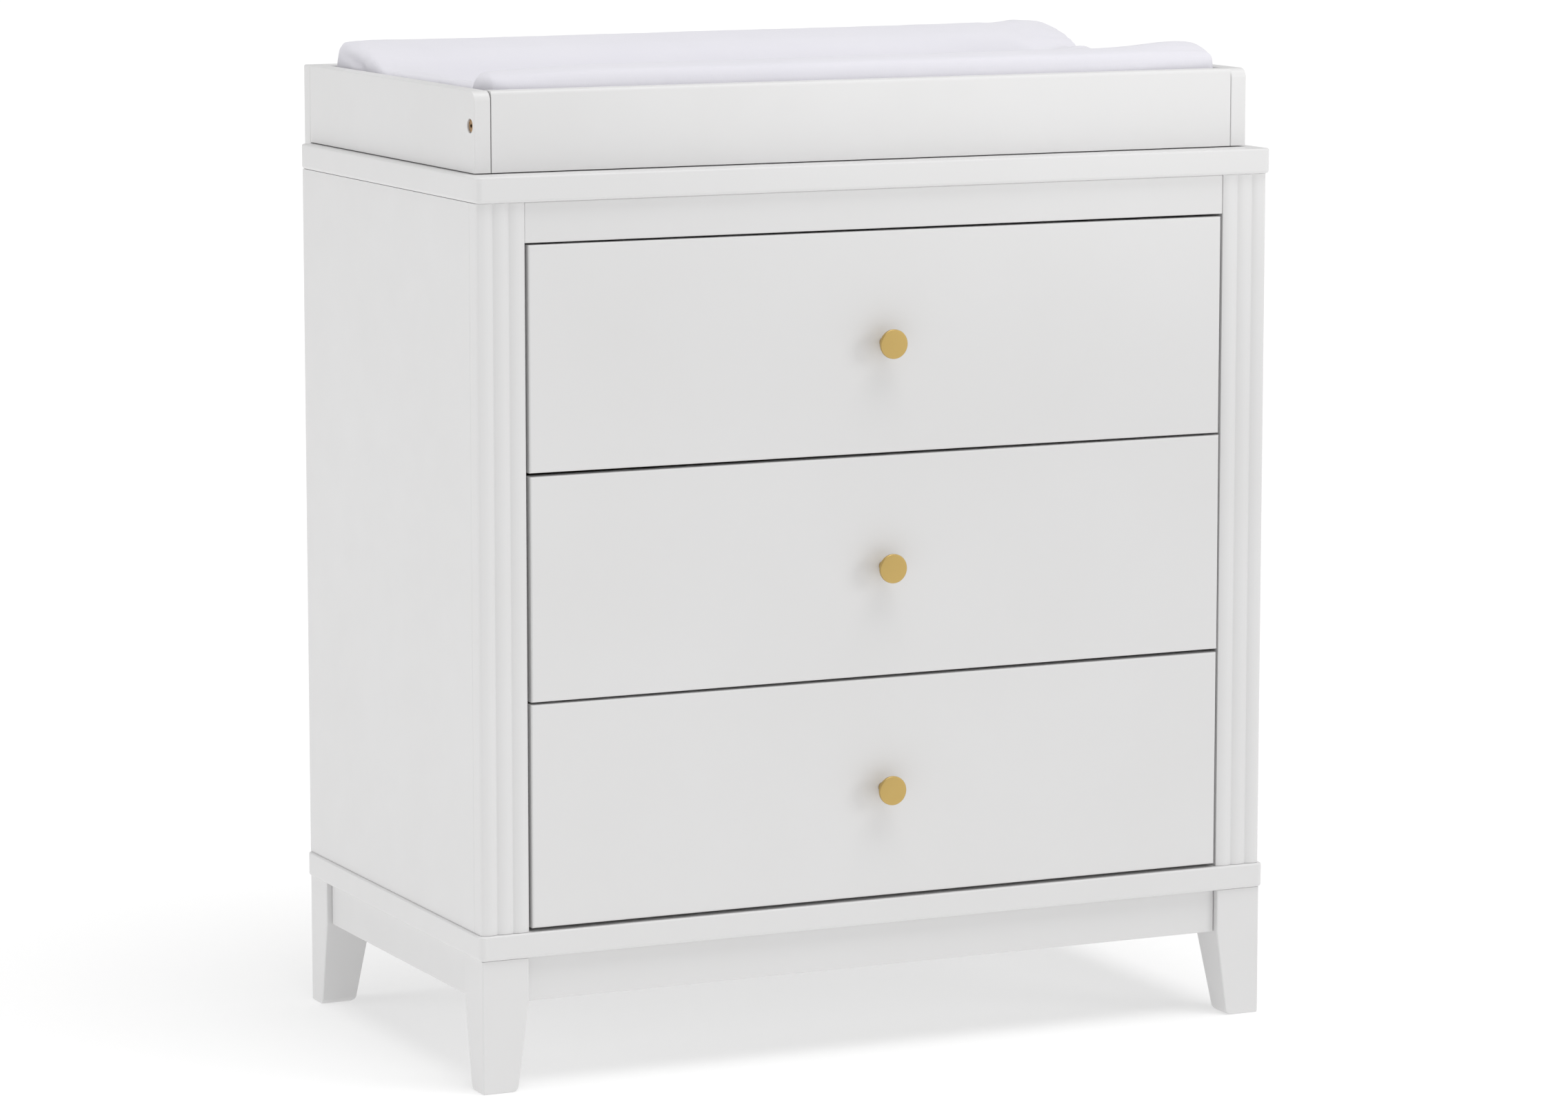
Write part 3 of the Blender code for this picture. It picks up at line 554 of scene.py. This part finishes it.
for side, word in hands:
    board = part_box(f"tray_{word}_board")
    outerX = board[1].x if side > 0 else board[0].x
    seat = Vector((outerX - side * trayLook["sinkDepth"], board[0].y + trayLook["boltBack"],
                   trayLook["boltZ"]))
    tip = boltLook["head"] - boltLook["length"]
    profile = [(0.0, tip), (boltLook["shank"], tip), (boltLook["shank"], boltLook["seat"]),
               (boltLook["radius"], boltLook["seat"]), (boltLook["radius"], boltLook["head"]),
               (boltLook["socket"] * boltLook["mouth"], boltLook["head"])]
    shape = turned(profile, (0.0, 0.0, 0.0), (0.0, 0.0, 1.0), 48)
    roundEdges(shape, [edge for edge in shape.edges if liesAt(edge, 2, boltLook["head"])
                       and edge.calc_face_angle(0.0) > 1.0], boltLook["soft"], 3)
    opening = [edge for edge in shape.edges if edge.is_boundary and liesAt(edge, 2, boltLook["head"])]
    hexagon = bmesh.ops.create_circle(shape, cap_ends=False, segments=6, radius=boltLook["socket"],
                                      matrix=Matrix.Translation((0.0, 0.0, boltLook["head"])))["verts"]
    bmesh.ops.subdivide_edges(shape, edges=list({edge for corner in hexagon for edge in corner.link_edges}),
                              cuts=7)
    ring = [edge for edge in shape.edges if edge.is_wire]
    bmesh.ops.bridge_loops(shape, edges=opening + ring)
    lip = [edge for edge in shape.edges if edge.is_boundary and liesAt(edge, 2, boltLook["head"])]
    deeper = bmesh.ops.extrude_edge_only(shape, edges=lip)["geom"]
    bmesh.ops.translate(shape, vec=(0.0, 0.0, -boltLook["socketDepth"]),
                        verts=[part for part in deeper if isinstance(part, bmesh.types.BMVert)])
    bmesh.ops.holes_fill(shape, edges=[edge for edge in shape.edges if edge.is_boundary], sides=0)
    bmesh.ops.recalc_face_normals(shape, faces=shape.faces)
    wrapTurning(shape, Vector((0.0, 0.0, 0.0)), Vector((0.0, 0.0, 1.0)))
    turn = Matrix.Rotation(side * math.pi / 2, 4, "Y")
    bmesh.ops.transform(shape, matrix=Matrix.Translation(seat) @ turn, verts=shape.verts)
    piece(f"trayBolt.{word}", shape, boltBronze, "cabinet", (f"tray_bolt_{word}",))

# small cross-head screws, on the tray's rear board and on the drawers' slides
screwLook = dict(radius=0.0034, rise=0.0010, steps=32, crossLength=0.0042, crossWidth=0.0009,
                 crossDepth=0.0007, boardPlaces=(-0.40, -0.20, 0.0, 0.20, 0.40),
                 slidePlaces=(0.035, 0.200, 0.365))


def screwHead(middle, aim):
    radius, rise, deep = screwLook["radius"], screwLook["rise"], screwLook["crossDepth"]
    profile = [(0.0, 0.0), (radius, 0.0), (radius, 0.3 * rise), (0.72 * radius, 0.85 * rise), (0.0, rise)]
    shape = turned(profile, (0.0, 0.0, 0.0), (0.0, 0.0, 1.0), screwLook["steps"])
    long, wide = screwLook["crossLength"] / 2, screwLook["crossWidth"] / 2
    shape = cutAway(shape, [block(Vector((-x, -y, rise - deep)), Vector((x, y, rise + deep)))
                            for x, y in ((long, wide), (wide, long))])
    turn = Vector((0.0, 0.0, 1.0)).rotation_difference(Vector(aim)).to_matrix().to_4x4()
    bmesh.ops.transform(shape, matrix=Matrix.Translation(middle) @ turn, verts=shape.verts)
    return shape


def screwRow(name, body, places, aim):
    row = bmesh.new()
    for middle in places:
        shape = screwHead(middle, aim)
        mesh = bpy.data.meshes.new("screw")
        shape.to_mesh(mesh)
        shape.free()
        row.from_mesh(mesh)
        bpy.data.meshes.remove(mesh)
    piece(name, row, zincSteel, body)


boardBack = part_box("tray_rear_board")[1].y
panelLow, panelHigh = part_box("top_panel")
screwRow("rearScrews", "cabinet",
         [(x, boardBack, (panelLow.z + panelHigh.z) / 2) for x in screwLook["boardPlaces"]], (0.0, 1.0, 0.0))
print("tray ready")

# drawers
frontLook = dict(rim=0.0022, rimSegments=5, back=0.0006,
                 hang=dict(top=(0.0, -0.0008), middle=(0.0006, 0.0010), bottom=(0.0, -0.0003)))  # aside, turn
boxLook = dict(topRound=0.003, groove=0.005, grooveHeight=0.0056, grooveRise=0.0117, arris=0.0006,
               floorArris=0.0003)
knobLook = dict(radius=0.0152, disc=0.004, neck=0.0048, flare=0.0054, rim=0.0008, steps=72, crown=0.00025,
                foot=0.0012, footTop=0.0045, shoulder=0.003, shoulderGrowth=0.002, flatShare=0.6)
slideLook = dict(sheet=0.0012, bend=0.0011)
for level in levels:
    body = f"drawer_{level}"
    low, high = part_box(f"drawer_{level}_front")
    shape = block(low, high)
    roundEdges(shape, [edge for edge in shape.edges if liesAt(edge, 1, low.y)], frontLook["rim"],
               frontLook["rimSegments"])
    roundEdges(shape, [edge for edge in shape.edges if liesAt(edge, 1, high.y)], frontLook["back"], 2)
    aside, turn = frontLook["hang"][level]
    bmesh.ops.rotate(shape, verts=shape.verts, cent=(low + high) / 2, matrix=Matrix.Rotation(-turn, 3, "Y"))
    bmesh.ops.translate(shape, verts=shape.verts, vec=(aside, 0.0, 0.0))
    piece(f"drawerFront.{level}", shape, lacquerAcross, body, (f"drawer_{level}_front",))

    for side, word in hands:
        low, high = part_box(f"drawer_{level}_side_right")
        floorZ = low.z + boxLook["grooveRise"]
        slotX = low.x + boxLook["groove"]
        grooveTop = floorZ + boxLook["grooveHeight"]
        points = [(high.x, low.z), (high.x, high.z), (low.x, high.z), (low.x, grooveTop), (slotX, grooveTop),
                  (slotX, floorZ), (low.x, floorZ), (low.x, low.z)]
        shape = plank([(x, low.y, z) for x, z in points], (0.0, high.y - low.y, 0.0))
        roundEdges(shape, [edge for edge in shape.edges if runsAlong(edge, 1) and liesAt(edge, 2, high.z)],
                   boxLook["topRound"], 5)
        roundEdges(shape, [edge for edge in shape.edges if runsAlong(edge, 1) and liesAt(edge, 2, low.z)],
                   boxLook["arris"], 2)
        if side < 0:
            mirrored(shape)
        piece(f"drawerSide.{level}.{word}", shape, birchDeep, body, (f"drawer_{level}_side_{word}",))
    shape = block(*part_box(f"drawer_{level}_back"))
    roundEdges(shape, shape.edges, boxLook["arris"], 3)
    piece(f"drawerBack.{level}", shape, birchAcross, body, (f"drawer_{level}_back",))
    shape = block(*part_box(f"drawer_{level}_floor"))
    roundEdges(shape, shape.edges, boxLook["floorArris"], 1)
    piece(f"drawerFloor.{level}", shape, drawerBase, body, (f"drawer_{level}_floor",))

    low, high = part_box(f"drawer_{level}_knob")
    reach = high.y - low.y
    middle = Vector(((low.x + high.x) / 2, high.y, (low.z + high.z) / 2))
    discBack = reach - knobLook["disc"]
    profile = [(0.0, 0.0), (knobLook["flare"], 0.0), (knobLook["flare"], knobLook["foot"]),
               (knobLook["neck"], knobLook["footTop"]), (knobLook["neck"], discBack - knobLook["shoulder"]),
               (knobLook["neck"] + knobLook["shoulderGrowth"], discBack), (knobLook["radius"], discBack),
               (knobLook["radius"], reach - knobLook["crown"]),
               (knobLook["radius"] * knobLook["flatShare"], reach), (0.0, reach)]
    shape = turned(profile, (0.0, 0.0, 0.0), (0.0, 0.0, 1.0), knobLook["steps"])
    sharp = [edge for edge in shape.edges if edge.calc_face_angle(0.0) > 0.6
             and edge.verts[0].co.xy.length > knobLook["radius"] - nearly]
    roundEdges(shape, sharp, knobLook["rim"], 4)
    wrapTurning(shape, Vector((0.0, 0.0, 0.0)), Vector((0.0, 0.0, 1.0)))
    bmesh.ops.transform(shape, matrix=Matrix.Translation(middle) @ Matrix.Rotation(math.pi / 2, 4, "X"),
                        verts=shape.verts)
    piece(f"knob.{level}", shape, brushedGold, body, (f"drawer_{level}_knob",), smooth=50.0)

    carriers = {"outer": "cabinet", "middle": f"slides_{level}", "inner": f"drawer_{level}"}
    for side, word in hands:
        for member, carrier in carriers.items():
            node = f"slide_{level}_{word}_{member}"
            low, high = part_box(node)
            opensRight = (side < 0) != (member == "inner")
            webX, lipX = (low.x, high.x) if opensRight else (high.x, low.x)
            sheet = math.copysign(slideLook["sheet"], lipX - webX)
            inside = slideLook["sheet"]
            points = [(webX, low.z), (lipX, low.z), (lipX, low.z + inside), (webX + sheet, low.z + inside),
                      (webX + sheet, high.z - inside), (lipX, high.z - inside), (lipX, high.z),
                      (webX, high.z)]
            shape = plank([(x, low.y, z) for x, z in points], (0.0, high.y - low.y, 0.0))
            roundEdges(shape, [edge for edge in shape.edges if runsAlong(edge, 1) and liesAt(edge, 0, webX)],
                       slideLook["bend"], 3)
            piece(f"slide.{level}.{word}.{member}", shape, zincSteel, carrier, (node,))
            if member == "inner":
                middleZ = (low.z + high.z) / 2
                places = [(webX + sheet, low.y + y, middleZ) for y in screwLook["slidePlaces"]]
                screwRow(f"slideScrews.{level}.{word}", carrier, places, (side, 0.0, 0.0))
print("drawers ready")

# changing pad: a contoured foam block in a fitted cotton cover
padLook = dict(voxel=0.0055, inset=0.0015, pressure=2.0, frames=12, cap=0.0010, endRound=0.0032, fill=0.85,
               endReach=(0.125, 0.012), frontDrop=((0.010, 0.0030), (0.024, 0.0060)),
               rearDrop=(0.004, 0.0012), soft=((26.0, 0.00040), (70.0, 0.00014)), frontOffset=0.0203,
               heldHeight=0.012, aboveStart=0.02, aboveEnd=0.06)
shapeLook = dict(tilt=0.0020, settle=0.0005, rightLift=0.0030, liftFrom=0.28, liftTo=0.39,
                 liftFront=(0.10, 0.20), frontEnds=(0.12, 0.26), hollowAt=0.24, hollowWide=0.11,
                 hollowDeep=0.0040, hollowReach=0.02, leftLean=0.0020, leanFront=(0.06, 0.30))
seamLook = dict(width=0.0024, depth=0.0090, top=1.0310, fade=0.006, near=0.012, leftInset=0.002,
                places=(0.0508, 0.4822))
clothLook = dict(quality=5, mass=0.25, tension=25.0, compression=12.0, shear=6.0, bending=0.4)
padLow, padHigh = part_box("changing_pad")
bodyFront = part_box("side_panel_left")[0].y - padLook["frontOffset"]     # the sections count from here
rearFace = ((0.4650, 1.0418), (0.4740, 1.0368), (0.4805, 1.0240), (0.4835, 1.0100), (0.4840, 1.0000))
middleSection = ((0.0505, 1.0000), (0.0508, 1.0150), (0.0525, 1.0260), (0.0560, 1.0318), (0.0630, 1.0343),
                 (0.0780, 1.0350), (0.0920, 1.0335), (0.1120, 1.0255), (0.1400, 1.0090), (0.1700, 0.9965),
                 (0.2000, 0.9915), (0.2600, 0.9900), (0.3000, 0.9920), (0.3250, 0.9985), (0.3450, 1.0090),
                 (0.3600, 1.0185), (0.3760, 1.0268), (0.3980, 1.0345), (0.4280, 1.0402),
                 (0.4520, 1.0425)) + rearFace
leftSection = ((0.0505, 1.0000), (0.0508, 1.0150), (0.0525, 1.0250), (0.0560, 1.0290), (0.0620, 1.0312),
               (0.0710, 1.0322), (0.0800, 1.0318), (0.0880, 1.0298), (0.0940, 1.0262), (0.0990, 1.0205),
               (0.1020, 1.0176), (0.1100, 1.0168), (0.1500, 1.0165), (0.2200, 1.0160), (0.3000, 1.0158),
               (0.3400, 1.0160), (0.3540, 1.0195), (0.3710, 1.0272), (0.3980, 1.0355), (0.4280, 1.0405),
               (0.4520, 1.0425)) + rearFace
rightSection = ((0.0505, 1.0000), (0.0508, 1.0150), (0.0525, 1.0245), (0.0580, 1.0290), (0.0700, 1.0330),
                (0.0820, 1.0358), (0.0920, 1.0368), (0.1000, 1.0350), (0.1080, 1.0290), (0.1160, 1.0200),
                (0.1260, 1.0130), (0.1500, 1.0110), (0.2200, 1.0100), (0.2850, 1.0120), (0.3080, 1.0182),
                (0.3300, 1.0212), (0.3440, 1.0180), (0.3540, 1.0198), (0.3710, 1.0275), (0.3980, 1.0362),
                (0.4280, 1.0422), (0.4520, 1.0437)) + rearFace
# folds in the cover: from x, y, z to x, y, z, then half-width and height; z None runs over the top
padFolds = (
    (-0.418, 0.449, 1.027, -0.418, 0.424, 1.024, 0.0036, -0.0016),
    (-0.418, 0.424, 1.024, -0.418, 0.401, 1.020, 0.0038, -0.0024),
    (-0.418, 0.401, 1.020, -0.418, 0.387, 1.012, 0.0040, -0.0022),
    (-0.418, 0.430, 1.034, -0.418, 0.400, 1.029, 0.0060, 0.0018),
    (-0.418, 0.430, 1.016, -0.418, 0.408, 1.012, 0.0070, 0.0016),
    (-0.380, 0.440, None, -0.360, 0.385, None, 0.0120, 0.0010),
    (0.376, 0.462, None, 0.386, 0.385, None, 0.0085, 0.0015),
    (0.350, 0.465, None, 0.352, 0.380, None, 0.0120, -0.0013),
    (0.404, 0.440, None, 0.404, 0.365, None, 0.0060, -0.0012),
    (-0.402, 0.110, None, -0.330, 0.150, None, 0.0110, 0.0018),
    (-0.398, 0.125, None, -0.340, 0.185, None, 0.0080, -0.0016),
    (-0.404, 0.330, None, -0.335, 0.300, None, 0.0120, 0.0018),
    (-0.402, 0.300, None, -0.345, 0.260, None, 0.0090, -0.0016),
    (0.402, 0.125, None, 0.330, 0.160, None, 0.0110, 0.0018),
    (0.398, 0.140, None, 0.340, 0.195, None, 0.0080, -0.0016),
    (0.404, 0.310, None, 0.335, 0.290, None, 0.0120, 0.0018),
    (0.402, 0.280, None, 0.345, 0.250, None, 0.0090, -0.0016),
    (-0.414, 0.102, None, -0.392, 0.104, None, 0.0030, -0.0020),
    (-0.120, 0.440, None, -0.060, 0.375, None, 0.0200, 0.0007),
    (0.120, 0.445, None, 0.170, 0.385, None, 0.0180, -0.0007),
)


def heightOn(section, y):
    if y <= section[0][0]:
        return section[0][1]
    for (startY, startZ), (endY, endZ) in zip(section, section[1:]):
        if y <= endY:
            return startZ + (endZ - startZ) * (y - startY) / (endY - startY)
    return section[-1][1]


def eased(value, low, high):
    share = min(max((value - low) / (high - low), 0.0), 1.0)
    return share * share * (3.0 - 2.0 * share)


def meshOnly(made):         # keep what the modifiers give, and drop them
    bpy.context.view_layer.update()
    seen = made.evaluated_get(bpy.context.evaluated_depsgraph_get())
    fresh = bpy.data.meshes.new_from_object(seen)
    old = made.data
    made.modifiers.clear()
    made.data = fresh
    bpy.data.meshes.remove(old)


def settled(made):          # swell the cover with air for a moment, its underside held still
    start = [corner.co.copy() for corner in made.data.vertices]
    held = made.vertex_groups.new(name="held")
    underside = [index for index, place in enumerate(start) if place.z < padLow.z + padLook["heldHeight"]]
    held.add(underside, 1.0, "REPLACE")
    cloth = made.modifiers.new("cover", "CLOTH")
    cloth.settings.quality = clothLook["quality"]
    cloth.settings.mass = clothLook["mass"]
    cloth.settings.tension_stiffness = clothLook["tension"]
    cloth.settings.compression_stiffness = clothLook["compression"]
    cloth.settings.shear_stiffness = clothLook["shear"]
    cloth.settings.bending_stiffness = clothLook["bending"]
    cloth.settings.use_pressure = True
    cloth.settings.uniform_pressure_force = padLook["pressure"]
    cloth.settings.vertex_group_mass = "held"
    cloth.settings.effector_weights.gravity = 0.0
    cloth.point_cache.frame_start, cloth.point_cache.frame_end = 1, padLook["frames"]
    for frameNumber in range(1, padLook["frames"] + 1):
        scene.frame_set(frameNumber)
    meshOnly(made)
    scene.frame_set(1)
    for corner, place in zip(made.data.vertices, start):
        moved = corner.co - place
        if moved.length > padLook["cap"]:
            corner.co = place + moved * (padLook["cap"] / moved.length)


frontFoot = (middleSection[0][0], padLow.z + padLook["inset"])
rearFoot = (middleSection[-1][0], padLow.z + padLook["inset"])
shape = plank([(padLow.x + padLook["inset"], y + bodyFront, z - padLook["inset"])
               for y, z in (frontFoot, *middleSection, rearFoot)],
              (padHigh.x - padLow.x - 2 * padLook["inset"], 0.0, 0.0))
roundEdges(shape, [edge for edge in shape.edges if liesAt(edge, 0, padLow.x + padLook["inset"])
                   or liesAt(edge, 0, padHigh.x - padLook["inset"])], padLook["endRound"], 4)
mesh = bpy.data.meshes.new("changingPad")
shape.to_mesh(mesh)
shape.free()
pad = bpy.data.objects.new("changingPad", mesh)
scene.collection.objects.link(pad)
remesh = pad.modifiers.new("even", "REMESH")
remesh.mode, remesh.voxel_size = "VOXEL", padLook["voxel"]
meshOnly(pad)
settled(pad)
relax = pad.modifiers.new("relax", "SMOOTH")
relax.factor, relax.iterations = 0.5, 1
finer = pad.modifiers.new("finer", "SUBSURF")
finer.levels = finer.render_levels = 1
meshOnly(pad)

halfLength = (padHigh.x - padLow.x) / 2
sectionTop = max(z for y, z in middleSection)
places = [corner.co.copy() for corner in pad.data.vertices]
low = Vector(min(place[axis] for place in places) for axis in range(3))
high = Vector(max(place[axis] for place in places) for axis in range(3))
size, wanted = high - low, padHigh - padLow
for corner in pad.data.vertices:
    spot = corner.co
    x = padLow.x + (spot.x - low.x) / size.x * wanted.x
    y = padLow.y - bodyFront + (spot.y - low.y) / size.y * wanted.y
    z = padLow.z + (spot.z - low.z) / size.z * (sectionTop - padLow.z)
    ended = eased(abs(x), halfLength - padLook["endReach"][0], halfLength - padLook["endReach"][1])
    was = heightOn(middleSection, y)
    now = was + (heightOn(leftSection if x < 0 else rightSection, y) - was) * ended
    # the rolls stand a little taller to the right
    now += shapeLook["tilt"] * eased(x, -halfLength, halfLength) - shapeLook["settle"]
    now += (shapeLook["rightLift"] * eased(x, shapeLook["liftFrom"], shapeLook["liftTo"])
            * (1.0 - eased(y, *shapeLook["liftFront"])))
    rearShare = eased(y, *shapeLook["frontEnds"])
    for reach, drop, here in ((*padLook["frontDrop"][x > 0.0], 1.0 - rearShare),
                              (*padLook["rearDrop"], rearShare)):
        outwards = min(max((abs(x) - halfLength + reach) / reach, 0.0), 1.0)
        now -= here * drop * (1.0 - math.sqrt(1.0 - outwards * outwards * 0.999))
    z = padLow.z + (z - padLow.z) * (now - padLow.z) / (was - padLow.z)
    hollow = (math.exp(-((y - shapeLook["hollowAt"]) / shapeLook["hollowWide"]) ** 2)
              * eased(abs(x), halfLength - shapeLook["hollowReach"], halfLength))
    leanStart, leanEnd = shapeLook["leanFront"]
    lean = shapeLook["leftLean"] * eased(-y, -leanEnd, -leanStart) * (x < 0.0)
    x -= math.copysign(shapeLook["hollowDeep"] * hollow + lean, x)
    corner.co = Vector((x, y + bodyFront, z))
pad.data.update()
shape = bmesh.new()
shape.from_mesh(pad.data)
seams = [Vector((side * (halfLength - seamLook["leftInset"] * (side < 0)), y + bodyFront, 0.0))
         for side in (-1, 1) for y in seamLook["places"]]


def seamOffset(spot):       # level distance to the nearest corner seam
    return min((Vector((spot.x, spot.y, 0.0)) - seam).length for seam in seams)


near = [edge for edge in shape.edges
        if all(seamOffset(corner.co) < seamLook["near"] for corner in edge.verts)]
bmesh.ops.subdivide_edges(shape, edges=near, cuts=2, use_grid_fill=True)
shape.normal_update()
normals = [corner.normal.copy() for corner in shape.verts]
for corner, normal in zip(shape.verts, normals):
    x, y, z = corner.co
    y -= bodyFront
    above = eased(z, padLow.z + padLook["aboveStart"], padLow.z + padLook["aboveEnd"])
    push = 0.0
    for startX, startY, startZ, endX, endY, endZ, halfWidth, height in padFolds:
        flat = startZ is None
        start = Vector((startX, startY, 0.0 if flat else startZ))
        along = Vector((endX, endY, 0.0 if flat else endZ)) - start
        reach = Vector((x, y, 0.0 if flat else z)) - start
        nearest = min(max(reach.dot(along) / along.length_squared, 0.0), 1.0)
        apart = (reach - along * nearest).length
        if apart < 3.0 * halfWidth:
            push += height * math.exp(-(apart / halfWidth) ** 2) * (0.35 + 0.65 * math.sin(math.pi * nearest))
    for scale, height in padLook["soft"]:
        push += height * noise.noise(corner.co * scale)
    seamShare = math.exp(-(seamOffset(corner.co) / seamLook["width"]) ** 2)
    seamShare *= 1.0 - eased(z, seamLook["top"], seamLook["top"] + seamLook["fade"])
    push -= seamLook["depth"] * seamShare
    corner.co += normal * push * above
shape.to_mesh(pad.data)
shape.free()
pad.data.update()
pad.data.shade_smooth()
pad.data.materials.clear()
pad.data.materials.append(padCotton)
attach(pad, "cabinet")
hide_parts("changing_pad")
print("pad ready:", len(pad.data.polygons), "faces")

# floor and light
studioLook = dict(floor=0.58, floorGlow=0.45, air=0.475, floorSize=40.0)
floorMaterial, tree, shader = newMaterial("studioFloor", (studioLook["floor"],) * 3, 0.9,
                                          Specular_IOR_Level=0.0)
shader.inputs["Emission Color"].default_value = (1.0, 1.0, 1.0, 1.0)
shader.inputs["Emission Strength"].default_value = studioLook["floorGlow"]
shape = bmesh.new()
bmesh.ops.create_grid(shape, x_segments=1, y_segments=1, size=studioLook["floorSize"])
mesh = bpy.data.meshes.new("studioFloor")
shape.to_mesh(mesh)
shape.free()
mesh.materials.append(floorMaterial)
studioFloor = bpy.data.objects.new("studioFloor", mesh)
scene.collection.objects.link(studioFloor)

world = bpy.data.worlds.new("studio")
world.use_nodes = True
world.node_tree.nodes["Background"].inputs["Color"].default_value = (1.0, 1.0, 1.0, 1.0)
world.node_tree.nodes["Background"].inputs["Strength"].default_value = studioLook["air"]
scene.world = world

farLights = (       # name, where it shines from, strength, softness in degrees
    ("keyLight", (3.0, -3.0, 1.15), 0.43, 22.0),
    ("sideLight", (-4.0, 1.0, 1.0), 0.66, 40.0),
    ("topLight", (0.4, -1.0, 3.9), 1.52, 45.0),
)
for name, place, power, softness in farLights:
    data = bpy.data.lights.new(name, "SUN")
    data.energy, data.angle = power, math.radians(softness)
    lamp = bpy.data.objects.new(name, data)
    lamp.location = place
    lamp.rotation_euler = (-Vector(place)).to_track_quat("-Z", "Y").to_euler()
    scene.collection.objects.link(lamp)
trayLamp = dict(place=(1.6, -5.0, 1.3), aim=(0.45, -0.2, 2.25), power=185.0, cone=36.0, blend=0.5, soft=0.15)
spot = bpy.data.lights.new("trayLight", "SPOT")
spot.energy, spot.spot_size = trayLamp["power"], math.radians(trayLamp["cone"])
spot.spot_blend, spot.shadow_soft_size = trayLamp["blend"], trayLamp["soft"]
lamp = bpy.data.objects.new("trayLight", spot)
lamp.location = trayLamp["place"]
lamp.rotation_euler = (Vector(trayLamp["aim"]) - lamp.location).to_track_quat("-Z", "Y").to_euler()
scene.collection.objects.link(lamp)
print("stage ready")
